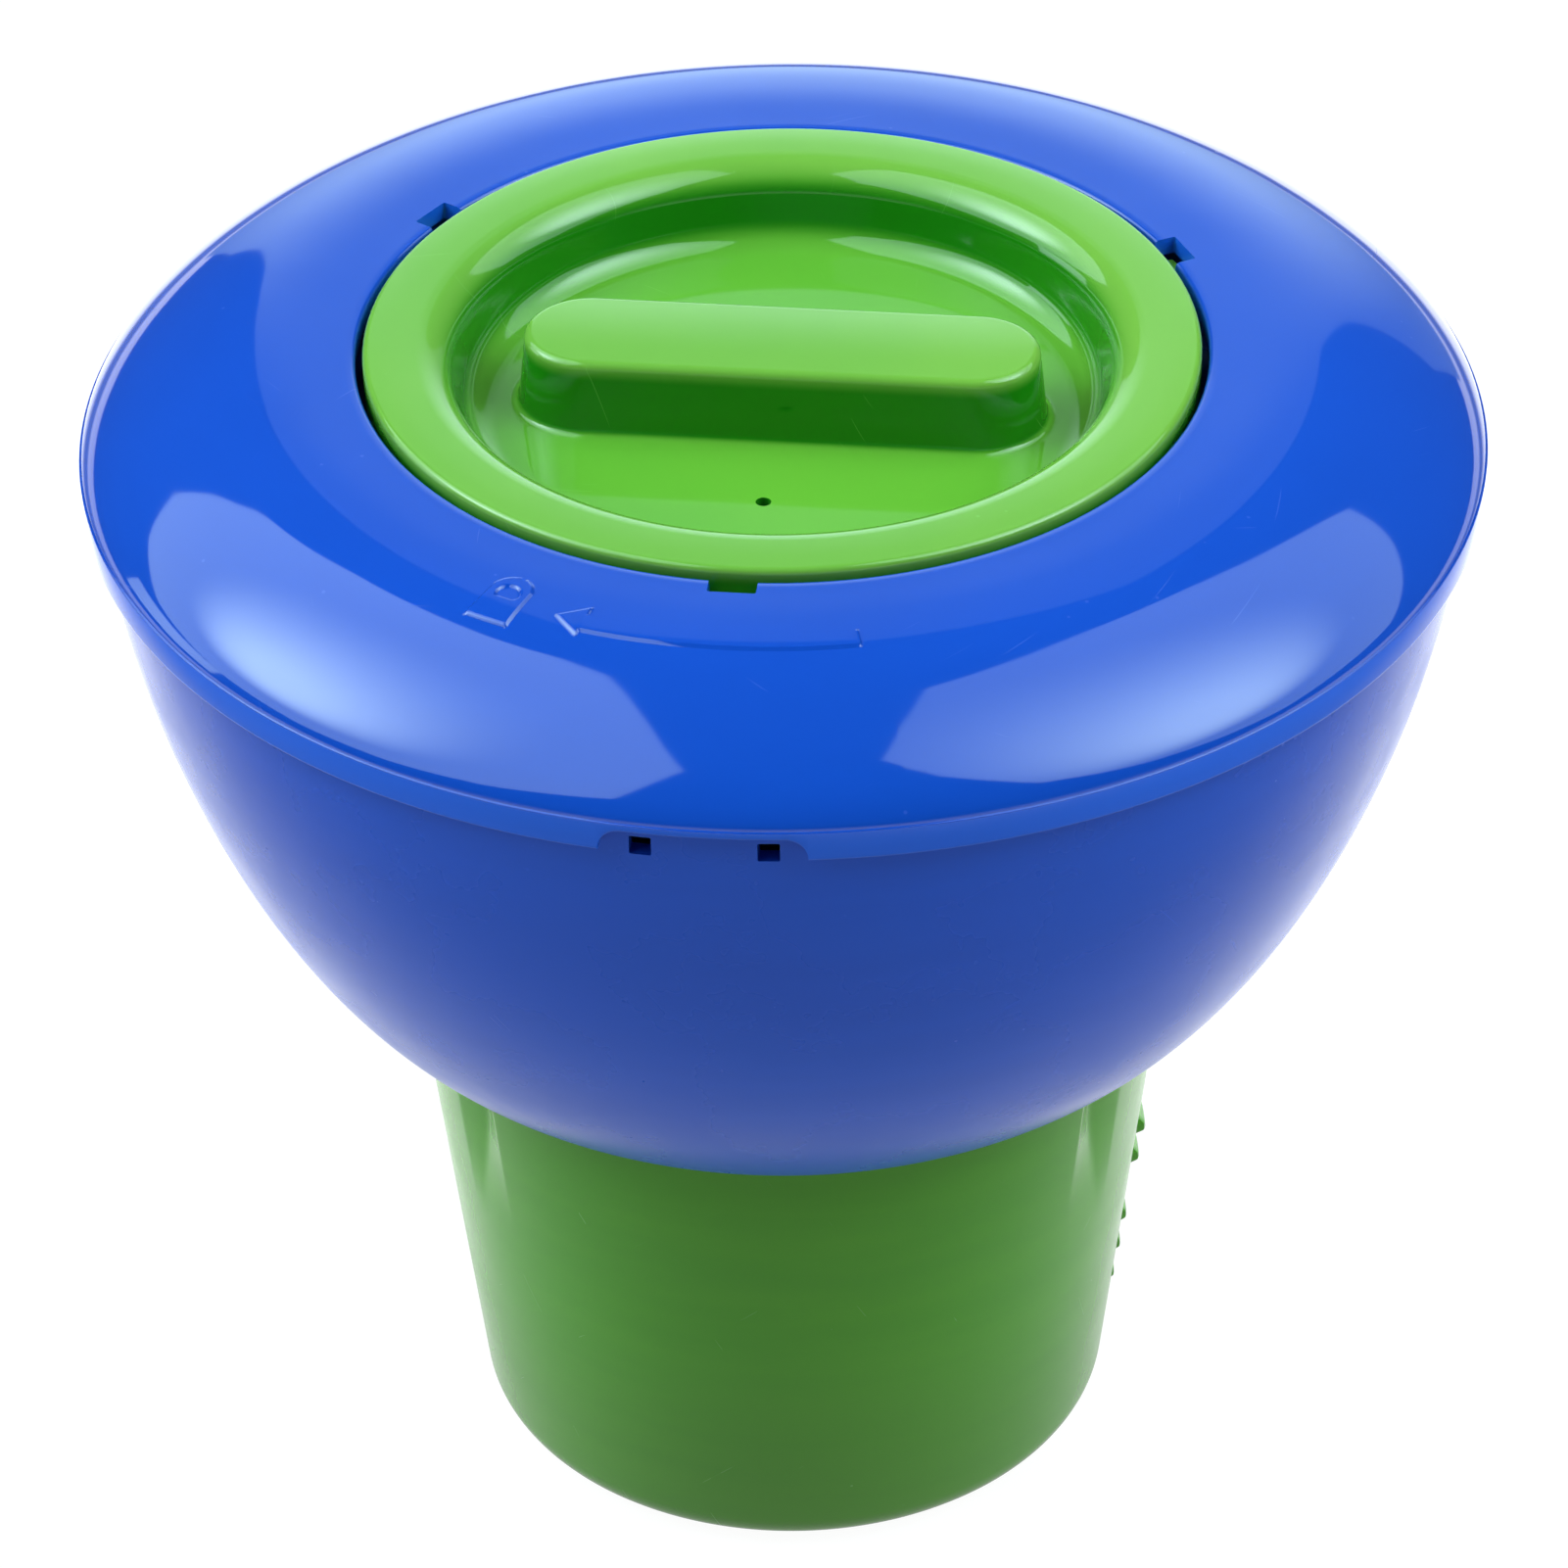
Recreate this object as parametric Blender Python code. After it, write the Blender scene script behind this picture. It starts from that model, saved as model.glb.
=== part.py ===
"""Floating chlorine dispenser: a ring-shaped float that carries a tablet cup with a twist-lock lid.

The model stands on the flat foot of its tablet cup. The origin is the centre of that foot and +Z is
up, through the lid. The grip bar of the lid lies along X. Sizes below are in millimetres, and MM
turns them into Blender's metres.
"""

import math

import bmesh
import bpy
from mathutils import Matrix, Vector

MM = 0.001
SEGMENTS = 48                # facets round a turned piece
FRONT = -90.0                # the side with the tether holes and the front bayonet notch, degrees
SEATED = 0.3                 # clearance between two pieces that rest on each other

# Float cover: a domed ring with a short skirt, and a hole for the lid
COVER_RADIUS = 100.0
COVER_WALL = 2.3
SKIRT_BOTTOM = 164.0
SKIRT_TOP = 168.6
SKIRT_INNER = 98.0
CREST_RADIUS = 70.0
CREST_HEIGHT = 182.6
DOME_POWERS = (1.8, 0.74)
HOLE_RADIUS = 60.3
HOLE_RIM = 181.9
PLATE_UNDERSIDE = 179.6
COLLAR_RADII = (65.0, 67.0)
COLLAR_BOTTOM = 168.7
PRY_ARCH_HALF_WIDTH = 14.1
PRY_ARCH_TOP = 167.3
PRY_ARCH_CORNER = 3.2

# Bayonet: three lugs on the lid pass down three notches, then turn clockwise under the cover
BAYONET_ANGLES = (FRONT, 30.0, 150.0)
NOTCH_RADIUS = 63.4
NOTCH_WIDTH = 6.7
LUG_RADIUS = 62.8
LUG_WIDTH = 5.6
LUG_BOTTOM = 176.3
LUG_TOP = 178.9
LOCK_TURN = 28.0
STOP_THICKNESS = 1.6

# Float bowl: the lower shell, from its neck ring up to the rim under the skirt
NECK_RADIUS = 59.2
NECK_BOTTOM = 80.0
NECK_CURVE_RADIUS = 57.0
NECK_SEAT = 90.0
NECK_SEAT_RADIUS = 66.8
BOWL_RIM_RADIUS = 97.6
BOWL_RIM = 166.3
BOWL_POWER = 1.57
BOWL_WALL = 2.2
TETHER_HOLE = 3.0
TETHER_SPACING = 17.2
TETHER_HEIGHT = 163.7

# Inner sleeve: the wall between the float chamber and the tablet well
SLEEVE_BORE = 57.5
SLEEVE_OUTER = 59.9
SLEEVE_FLANGE = 65.4
SLEEVE_BOTTOM = 96.8
SLEEVE_TOP = 171.4

# Tablet cup: a drafted cup that hangs from the neck ring by its flange
FOOT_RADIUS = 46.6
FOOT_FILLET = 6.1
DRAFT = math.radians(6.9)
CUP_WALL = 2.0
CUP_FLOOR = 2.2
CUP_FLANGE = (92.4, 94.8)
CUP_FLANGE_RADIUS = 65.6
CUP_TURN = 5.7               # the cup is fitted turned by this much against the cover, degrees
PANEL_START = 48.0
PANEL_FULL = 72.0
PANEL_RISE = 1.2
PANEL_HALF_ANGLE = 52.0
PANEL_FOOT_ANGLE = 57.0

# Vent gate: a curved plate in a slotted track on the cup's right-hand side
GATE_ANGLE = 13.0
GATE_BOTTOM = 10.0
GATE_TOP = 46.0
GATE_HALF_ANGLE = 9.2
GATE_TONGUE_ANGLE = 11.2
GATE_DEPTHS = (0.3, 1.3, 2.3)       # plate face, tongue face and back, below the cup's surface
TRACK_DEPTHS = (1.0, 1.8, 2.6)      # lip thickness, mouth depth and floor of the track
TRACK_HALF_ANGLES = (9.6, 11.6)
TRACK_ENDS = (9.6, 82.4)
PAD_DEPTH = 4.8
PAD_HALF_ANGLE = 13.5
RIDGE_PITCH = 5.6
RIDGE_TOP_PEAK = 42.1
RIDGE_ROWS = (0, 1, 3, 4, 5)        # the third row is left plain, as a thumb rest
RIDGE_HALF_ANGLE = 6.9
RIDGE_RISE = (1.9, 0.9)             # top row and bottom row, above the cup's surface
VENT_COUNT = 6
VENT_HEIGHT = 3.0
VENT_HALF_ANGLE = 6.5
DRAIN_COUNT = 8

# Lid
LID_TOP = 183.3
LID_RADIUS = 59.3
LID_SKIRT_BORE = 56.6
LID_SKIRT_BOTTOM = 174.3
RECESS_MOUTH = 49.8
RECESS_FLOOR = 172.0
LID_WALL = 2.3
BAR_TOP_SIZE = (73.4, 18.6)
BAR_DRAFT = 0.9
BAR_WALL = 2.2
PINHOLE_OFFSET = 25.0
PINHOLE_RADIUS = 1.3

GREEN = (0.110, 0.420, 0.045, 1.0)
CUP_GREEN = (0.085, 0.300, 0.040, 1.0)
COVER_BLUE = (0.010, 0.085, 0.640, 1.0)
BOWL_BLUE = (0.016, 0.060, 0.420, 1.0)
RUBBER_GREY = (0.045, 0.045, 0.050, 1.0)
FOAM_WHITE = (0.780, 0.780, 0.760, 1.0)


# ---------------------------------------------------------------- mesh helpers

def polar(radius, degrees, height):
    """A point at a radius, an angle about Z and a height, in metres."""
    angle = math.radians(degrees)
    return Vector((radius * math.cos(angle), radius * math.sin(angle), height)) * MM


def add_loops(bm, loops, closed):
    """Skin a list of equal point loops. A closed run joins its last loop to its first."""
    rings = [[bm.verts.new(point) for point in loop] for loop in loops]
    pairs = list(zip(rings, rings[1:]))
    if closed:
        pairs.append((rings[-1], rings[0]))
    for lower, upper in pairs:
        for i in range(len(lower)):
            j = (i + 1) % len(lower)
            bm.faces.new((lower[i], lower[j], upper[j], upper[i]))
    if not closed:
        bm.faces.new(reversed(rings[0]))
        bm.faces.new(rings[-1])


def add_turned(bm, profile):
    """Turn a closed (radius, height) outline about Z. Points at radius 0 become single vertices."""
    columns = []
    for radius, height in profile:
        if radius < 1e-6:
            columns.append([bm.verts.new(Vector((0.0, 0.0, height)) * MM)] * SEGMENTS)
        else:
            step = 360.0 / SEGMENTS
            columns.append([bm.verts.new(polar(radius, step * i, height)) for i in range(SEGMENTS)])
    for here, after in zip(columns, columns[1:] + columns[:1]):
        for i in range(SEGMENTS):
            j = (i + 1) % SEGMENTS
            corners = []
            for vert in (here[i], here[j], after[j], after[i]):
                if vert not in corners:
                    corners.append(vert)
            if len(corners) > 2:
                bm.faces.new(corners)


def add_wedge(bm, profile_at, middle, half_angle, steps):
    """Sweep an outline, given for each angle, across a sector of the circle about Z."""
    loops = []
    for i in range(steps + 1):
        angle = middle - half_angle + 2.0 * half_angle * i / steps
        loops.append([polar(radius, angle, height) for radius, height in profile_at(angle)])
    add_loops(bm, loops, closed=False)


def add_prism(bm, outline, low, high, place):
    """Raise a flat outline from one depth to another, then place it."""
    loops = [[place @ (Vector((x, y, depth)) * MM) for x, y in outline] for depth in (low, high)]
    add_loops(bm, loops, closed=False)


def build(name, bm, material=None, smooth=True):
    """Turn a bmesh into an object. Without a material it is a hidden cutter or tool."""
    bmesh.ops.recalc_face_normals(bm, faces=bm.faces)
    mesh = bpy.data.meshes.new(name)
    bm.to_mesh(mesh)
    bm.free()
    piece = bpy.data.objects.new(name, mesh)
    bpy.context.scene.collection.objects.link(piece)
    if material is None:
        piece.hide_render = True
        piece.display_type = 'WIRE'
        return piece
    mesh.materials.append(material)
    if smooth:
        mesh.shade_smooth()
        mesh.set_sharp_from_angle(angle=math.radians(32))
    return piece


def combine(piece, tool, operation):
    """Add or take away a hidden tool with an exact Boolean."""
    modifier = piece.modifiers.new(tool.name, 'BOOLEAN')
    modifier.operation = operation
    modifier.solver = 'EXACT'
    modifier.object = tool


def plastic(name, colour, roughness):
    """A plain moulded finish."""
    material = bpy.data.materials.new(name)
    material.use_nodes = True
    shader = material.node_tree.nodes["Principled BSDF"]
    shader.inputs["Base Color"].default_value = colour
    shader.inputs["Roughness"].default_value = roughness
    shader.inputs["Metallic"].default_value = 0.0
    return material


# ---------------------------------------------------------------- outlines

def arc(centre, radius, start, stop, steps):
    """Points on an arc in the (radius, height) plane, from one angle to another in degrees."""
    points = []
    for i in range(steps + 1):
        angle = math.radians(start + (stop - start) * i / steps)
        points.append((centre[0] + radius * math.cos(angle), centre[1] + radius * math.sin(angle)))
    return points


def inset(points, distance):
    """Shift an open (radius, height) line sideways, to the left of its direction."""
    shifted = []
    for i, (radius, height) in enumerate(points):
        before = points[max(i - 1, 0)]
        after = points[min(i + 1, len(points) - 1)]
        along = Vector((after[0] - before[0], after[1] - before[1])).normalized()
        shifted.append((radius - distance * along.y, height + distance * along.x))
    return shifted


def dome_point(share):
    """The cover's dome, from the skirt (share 1) in to its crest (share 0)."""
    reach = COVER_RADIUS - 0.3 - CREST_RADIUS
    rise = CREST_HEIGHT - SKIRT_TOP
    power_in, power_out = DOME_POWERS
    return CREST_RADIUS + reach * share, SKIRT_TOP + rise * (1.0 - share ** power_in) ** power_out


def bowl_radius(height):
    """The bowl's outer radius: a superellipse from its neck to its rim."""
    level = (height - NECK_BOTTOM) / (BOWL_RIM - NECK_BOTTOM)
    spread = (1.0 - (1.0 - level) ** BOWL_POWER) ** (1.0 / BOWL_POWER)
    return NECK_CURVE_RADIUS + (BOWL_RIM_RADIUS - NECK_CURVE_RADIUS) * spread


def cup_radius(height):
    """The cup's outer radius: a cone with the moulding draft."""
    return FOOT_RADIUS + height * math.tan(DRAFT)


def square_ring(inner, outer, low, high, edge=0.4):
    """A gasket's section: a square with eased outer corners."""
    return [(inner, low), (outer - edge, low), (outer, low + edge), (outer, high - edge),
            (outer - edge, high), (inner, high)]


def stadium(length, width, steps=8):
    """A long outline with round ends, about the origin."""
    radius = width / 2.0
    middle = length / 2.0 - radius
    points = []
    for side, start in ((1.0, -90.0), (-1.0, 90.0)):
        for i in range(steps + 1):
            angle = math.radians(start + 180.0 * i / steps)
            points.append((side * middle + radius * math.cos(angle), radius * math.sin(angle)))
    return points


# ---------------------------------------------------------------- the float

def float_cover(material):
    """The domed cover, with its lid hole, bayonet notches, stop ribs and pry arch."""
    shares = (1.0, 0.985, 0.94, 0.86, 0.75, 0.60, 0.42, 0.22, 0.0)
    dome = [dome_point(share) for share in shares]
    lining = inset([dome_point(share) for share in (0.80, 0.66, 0.48, 0.26, 0.0)], COVER_WALL)
    ledge = SKIRT_TOP + 0.4
    outline = [(SKIRT_INNER, SKIRT_BOTTOM), (COVER_RADIUS - 0.4, SKIRT_BOTTOM),
               (COVER_RADIUS, SKIRT_BOTTOM + 0.4)]
    outline += dome
    outline += [(66.0, CREST_HEIGHT - 0.15), (HOLE_RADIUS + 0.8, HOLE_RIM), (HOLE_RADIUS, HOLE_RIM - 0.6),
                (HOLE_RADIUS, PLATE_UNDERSIDE), (COLLAR_RADII[0], PLATE_UNDERSIDE),
                (COLLAR_RADII[0], COLLAR_BOTTOM), (COLLAR_RADII[1], COLLAR_BOTTOM),
                (COLLAR_RADII[1], PLATE_UNDERSIDE + 0.4)]
    outline += reversed(lining)
    outline += [(lining[0][0], ledge), (SKIRT_INNER, ledge)]
    bm = bmesh.new()
    add_turned(bm, outline)
    cover = build("float_cover", bm, material)

    stops = bmesh.new()
    for angle in BAYONET_ANGLES:
        lug_edge = math.degrees(LUG_WIDTH / 2.0 / LUG_RADIUS)
        rib_half = math.degrees(STOP_THICKNESS / 2.0 / LUG_RADIUS)
        middle = angle - LOCK_TURN - lug_edge - rib_half - 0.5
        rib = [(HOLE_RADIUS + 0.4, LUG_BOTTOM), (COLLAR_RADII[1] - 0.8, LUG_BOTTOM),
               (COLLAR_RADII[1] - 0.8, PLATE_UNDERSIDE + 0.8), (HOLE_RADIUS + 0.4, PLATE_UNDERSIDE + 0.8)]
        add_wedge(stops, lambda _, rib=rib: rib, middle, rib_half, 1)
    combine(cover, build("cover_stop_ribs", stops), 'UNION')

    notches = bmesh.new()
    for angle in BAYONET_ANGLES:
        turn = Matrix.Rotation(math.radians(angle), 4, 'Z')
        half = NOTCH_WIDTH / 2.0
        slot = [(HOLE_RADIUS - 3.0, -half), (NOTCH_RADIUS, -half), (NOTCH_RADIUS, half),
                (HOLE_RADIUS - 3.0, half)]
        add_prism(notches, slot, PLATE_UNDERSIDE - 0.6, CREST_HEIGHT + 2.0, turn)
    combine(cover, build("cover_notches", notches), 'DIFFERENCE')

    upright = Matrix.Rotation(math.radians(90), 4, 'X')
    arch = [(-PRY_ARCH_HALF_WIDTH, SKIRT_BOTTOM - 1.0), (PRY_ARCH_HALF_WIDTH, SKIRT_BOTTOM - 1.0)]
    inner = PRY_ARCH_HALF_WIDTH - PRY_ARCH_CORNER
    arch += arc((inner, PRY_ARCH_TOP - PRY_ARCH_CORNER), PRY_ARCH_CORNER, 0, 90, 4)
    arch += arc((-inner, PRY_ARCH_TOP - PRY_ARCH_CORNER), PRY_ARCH_CORNER, 90, 180, 4)
    cutter = bmesh.new()
    add_prism(cutter, arch, 94.0, COVER_RADIUS + 3.0, upright)
    combine(cover, build("cover_pry_arch", cutter), 'DIFFERENCE')
    return cover


def float_bowl(material):
    """The lower shell, thickened into a neck ring below and a gasket rim above."""
    levels = (0.012, 0.04, 0.09, 0.16, 0.26, 0.38, 0.52, 0.68, 0.84, 1.0)
    heights = [NECK_BOTTOM + (BOWL_RIM - NECK_BOTTOM) * level for level in levels]
    skin = [(bowl_radius(height), height) for height in heights]
    lining = [point for point in inset(skin, BOWL_WALL) if NECK_SEAT + 1.0 < point[1] < BOWL_RIM - 3.0]
    outline = [(NECK_RADIUS, NECK_BOTTOM + 1.0), (NECK_RADIUS + 0.6, NECK_BOTTOM + 0.4)]
    outline += skin
    outline += [(BOWL_RIM_RADIUS - 3.6, BOWL_RIM), (BOWL_RIM_RADIUS - 3.6, BOWL_RIM - 2.0)]
    outline += reversed(lining)
    outline += [(NECK_SEAT_RADIUS, NECK_SEAT), (NECK_RADIUS, NECK_SEAT)]
    bm = bmesh.new()
    add_turned(bm, outline)
    bowl = build("float_bowl", bm, material)

    upright = Matrix.Rotation(math.radians(90), 4, 'X')
    half = TETHER_HOLE / 2.0
    holes = bmesh.new()
    for side in (-1, 1):
        x = side * TETHER_SPACING / 2.0
        square = [(x - half, TETHER_HEIGHT - half), (x + half, TETHER_HEIGHT - half),
                  (x + half, TETHER_HEIGHT + half), (x - half, TETHER_HEIGHT + half)]
        add_prism(holes, square, 90.0, COVER_RADIUS + 3.0, upright)
    combine(bowl, build("bowl_tether_holes", holes), 'DIFFERENCE')
    return bowl


def inner_sleeve(material):
    """The tube between well and float chamber, with a seat for the lid seal on top."""
    seat_bore = 56.4
    crown = 64.6
    shoulder = (164.3, 166.5)
    outline = [(SLEEVE_BORE, SLEEVE_BOTTOM), (SLEEVE_FLANGE, SLEEVE_BOTTOM), (SLEEVE_FLANGE, SLEEVE_BOTTOM + 2.2),
               (SLEEVE_OUTER, SLEEVE_BOTTOM + 2.2), (SLEEVE_OUTER, shoulder[0]), (COLLAR_RADII[1] + 0.3, shoulder[0]),
               (COLLAR_RADII[1] + 0.3, shoulder[1]), (crown, shoulder[1]), (crown, SLEEVE_TOP),
               (seat_bore, SLEEVE_TOP), (seat_bore, SLEEVE_TOP - 3.0), (SLEEVE_BORE, SLEEVE_TOP - 6.0)]
    bm = bmesh.new()
    add_turned(bm, outline)
    return build("inner_sleeve", bm, material)


def gasket(name, section, material):
    """A turned rubber ring."""
    bm = bmesh.new()
    add_turned(bm, section)
    return build(name, bm, material)


def buoyancy_foam(material):
    """The foam ring that keeps the float up, lying in the chamber against the bowl's wall."""
    low = 126.0
    high = 158.0
    bore = 72.0
    side = [(bowl_radius(height) - BOWL_WALL - 1.4, height) for height in (low, 136.0, 147.0, high)]
    outline = [(bore, low)] + side + [(bore, high)]
    bm = bmesh.new()
    add_turned(bm, outline)
    return build("buoyancy_foam", bm, material)


# ---------------------------------------------------------------- the tablet cup and its gate

def cone_band(inner_depth, outer_depth, low, high):
    """A four-sided section that follows the cup's cone, between two depths below its surface."""
    return [(cup_radius(low) - inner_depth, low), (cup_radius(low) - outer_depth, low),
            (cup_radius(high) - outer_depth, high), (cup_radius(high) - inner_depth, high)]


def tablet_cup(material):
    """The cup: a drafted body, two raised panels, the gate's track, vents and floor drains."""
    slope = math.degrees(DRAFT)
    top = CUP_FLANGE[1]
    fillet_centre = cup_radius(FOOT_FILLET) - FOOT_FILLET / math.cos(DRAFT)
    outer = arc((fillet_centre, FOOT_FILLET), FOOT_FILLET, -90, -slope, 5)
    inner_fillet = FOOT_FILLET - CUP_WALL
    inner_level = CUP_FLOOR + inner_fillet
    bore_top = cup_radius(top) - CUP_WALL
    inner = arc((cup_radius(inner_level) - CUP_WALL - inner_fillet, inner_level), inner_fillet, -slope, -90, 4)
    outline = [(0.0, 0.0)] + outer
    outline += [(cup_radius(CUP_FLANGE[0]), CUP_FLANGE[0]), (CUP_FLANGE_RADIUS, CUP_FLANGE[0]),
                (CUP_FLANGE_RADIUS, top), (bore_top, top)]
    outline += inner + [(0.0, CUP_FLOOR)]
    bm = bmesh.new()
    add_turned(bm, outline)
    cup = build("tablet_cup", bm, material)

    def panel_outline(middle):
        def at(angle):
            off = abs(angle - middle)
            share = min(1.0, (PANEL_FOOT_ANGLE - off) / (PANEL_FOOT_ANGLE - PANEL_HALF_ANGLE))
            rise = PANEL_RISE * share - 0.2
            return [(cup_radius(PANEL_START) - 1.0, PANEL_START), (cup_radius(PANEL_START) - 0.2, PANEL_START),
                    (cup_radius(PANEL_FULL) + rise, PANEL_FULL), (cup_radius(91.0) + rise, 91.0),
                    (cup_radius(91.0) - 1.0, 91.0)]
        return at

    panels = bmesh.new()
    for middle in (FRONT + CUP_TURN, FRONT + CUP_TURN + 180.0):
        add_wedge(panels, panel_outline(middle), middle, PANEL_FOOT_ANGLE, 16)
    combine(cup, build("cup_panels", panels), 'UNION')

    pad = bmesh.new()
    add_wedge(pad, lambda _: cone_band(PAD_DEPTH, 0.9, 5.0, 86.0), GATE_ANGLE, PAD_HALF_ANGLE, 6)
    combine(cup, build("cup_track_pad", pad), 'UNION')

    lip, mouth, floor = TRACK_DEPTHS
    low, high = TRACK_ENDS
    groove = bmesh.new()
    add_wedge(groove, lambda _: cone_band(floor, lip, low, high), GATE_ANGLE, TRACK_HALF_ANGLES[1], 6)
    combine(cup, build("cup_track_groove", groove), 'DIFFERENCE')
    slot = bmesh.new()
    add_wedge(slot, lambda _: cone_band(mouth, -4.0, low + 0.2, high - 0.2), GATE_ANGLE, TRACK_HALF_ANGLES[0], 6)
    combine(cup, build("cup_track_mouth", slot), 'DIFFERENCE')

    vents = bmesh.new()
    for row in range(VENT_COUNT):
        base = GATE_BOTTOM + 3.0 + RIDGE_PITCH * row
        section = cone_band(PAD_DEPTH + 2.0, mouth, base, base + VENT_HEIGHT)
        add_wedge(vents, lambda _, section=section: section, GATE_ANGLE, VENT_HALF_ANGLE, 3)
    combine(cup, build("cup_vents", vents), 'DIFFERENCE')

    drains = bmesh.new()
    for i in range(DRAIN_COUNT):
        turn = Matrix.Rotation(math.radians(CUP_TURN + 360.0 / DRAIN_COUNT * i), 4, 'Z')
        add_prism(drains, [(18.0, -2.2), (34.0, -2.2), (34.0, 2.2), (18.0, 2.2)], -1.0, CUP_FLOOR + 1.0, turn)
    combine(cup, build("cup_drains", drains), 'DIFFERENCE')
    return cup


def vent_gate(material):
    """The gate: a T-section plate with wedge ridges for the thumb. Its origin is on its slide."""
    face, tongue, back = GATE_DEPTHS
    steps = 6
    loops = []
    for height in (GATE_BOTTOM, GATE_TOP):
        surface = cup_radius(height)
        loop = [(surface - back, -GATE_TONGUE_ANGLE), (surface - tongue, -GATE_TONGUE_ANGLE),
                (surface - tongue, -GATE_HALF_ANGLE)]
        loop += [(surface - face, GATE_HALF_ANGLE * (2.0 * i / steps - 1.0)) for i in range(steps + 1)]
        loop += [(surface - tongue, GATE_HALF_ANGLE), (surface - tongue, GATE_TONGUE_ANGLE)]
        loop += [(surface - back, GATE_TONGUE_ANGLE * (1.0 - 2.0 * i / steps)) for i in range(steps)]
        loops.append([polar(radius, GATE_ANGLE + angle, height) for radius, angle in loop])
    bm = bmesh.new()
    add_loops(bm, loops, closed=False)

    ridges = bmesh.new()
    for row in RIDGE_ROWS:
        peak = RIDGE_TOP_PEAK - RIDGE_PITCH * row
        rise = RIDGE_RISE[0] + (RIDGE_RISE[1] - RIDGE_RISE[0]) * row / RIDGE_ROWS[-1]
        surface = cup_radius(peak)
        section = [(surface - 1.2, peak + 3.0), (surface - face, peak + 3.0), (surface + rise * 0.8, peak + 0.8),
                   (surface + rise, peak), (surface + rise * 0.7, peak - 0.7), (surface - face, peak - 1.5),
                   (surface - 1.2, peak - 1.5)]
        add_wedge(ridges, lambda _, section=section: section, GATE_ANGLE, RIDGE_HALF_ANGLE, 5)

    origin = polar(cup_radius(GATE_BOTTOM), GATE_ANGLE, GATE_BOTTOM)
    to_origin = Matrix.Translation(-origin)
    bmesh.ops.transform(bm, matrix=to_origin, verts=bm.verts)
    bmesh.ops.transform(ridges, matrix=to_origin, verts=ridges.verts)
    gate = build("vent_gate", bm, material)
    tool = build("gate_ridges", ridges)
    gate.location = origin
    tool.location = origin
    combine(gate, tool, 'UNION')
    return gate


# ---------------------------------------------------------------- the lid

def lid(material):
    """The twist-lock lid: flange, skirt with three lugs, dished recess and a hollow grip bar."""
    floor_fillet = arc((40.8, RECESS_FLOOR + 4.0), 4.0, -90, -12, 4)
    roll_in = arc((RECESS_MOUTH, LID_TOP - 2.6), 2.6, 168, 90, 4)
    under = RECESS_FLOOR - LID_WALL
    outline = [(0.0, RECESS_FLOOR)] + floor_fillet + roll_in
    outline += [(LID_RADIUS - 0.5, LID_TOP), (LID_RADIUS, LID_TOP - 0.5), (LID_RADIUS, LID_SKIRT_BOTTOM),
                (LID_SKIRT_BORE, LID_SKIRT_BOTTOM), (LID_SKIRT_BORE, LID_TOP - LID_WALL),
                (51.6, LID_TOP - LID_WALL), (49.6, LID_TOP - 3.4), (47.0, 174.2), (45.0, 170.8),
                (42.0, under), (0.0, under)]
    bm = bmesh.new()
    add_turned(bm, outline)
    cap = build("lid", bm, material)

    lugs = bmesh.new()
    half = LUG_WIDTH / 2.0
    tab = [(LID_RADIUS - 1.2, -half), (LUG_RADIUS, -half), (LUG_RADIUS, half), (LID_RADIUS - 1.2, half)]
    for angle in BAYONET_ANGLES:
        add_prism(lugs, tab, LUG_BOTTOM, LUG_TOP, Matrix.Rotation(math.radians(angle), 4, 'Z'))
    combine(cap, build("lid_lugs", lugs), 'UNION')

    length, width = BAR_TOP_SIZE
    spread = 2.0 * BAR_DRAFT

    def bar_loop(shrink, height):
        points = stadium(length + spread - shrink, width + spread - shrink)
        return [Vector((x, y, height)) * MM for x, y in points]

    bar = bmesh.new()
    add_loops(bar, [bar_loop(0.0, RECESS_FLOOR - 1.0), bar_loop(spread, LID_TOP - 1.0),
                    bar_loop(spread + 1.4, LID_TOP)], closed=False)
    combine(cap, build("lid_bar", bar), 'UNION')

    hollow = bmesh.new()
    wall = 2.0 * BAR_WALL
    add_loops(hollow, [bar_loop(wall, under - 1.0), bar_loop(spread + wall, LID_TOP - BAR_WALL)], closed=False)
    combine(cap, build("lid_bar_hollow", hollow), 'DIFFERENCE')

    pinhole = bmesh.new()
    circle = [(PINHOLE_RADIUS * math.cos(math.tau * i / 10), PINHOLE_RADIUS * math.sin(math.tau * i / 10))
              for i in range(10)]
    drop = Matrix.Translation(Vector((0.0, -PINHOLE_OFFSET, 0.0)) * MM)
    add_prism(pinhole, circle, under - 1.0, RECESS_FLOOR + 1.0, drop)
    combine(cap, build("lid_pinhole", pinhole), 'DIFFERENCE')
    return cap


# ---------------------------------------------------------------- assembly

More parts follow.
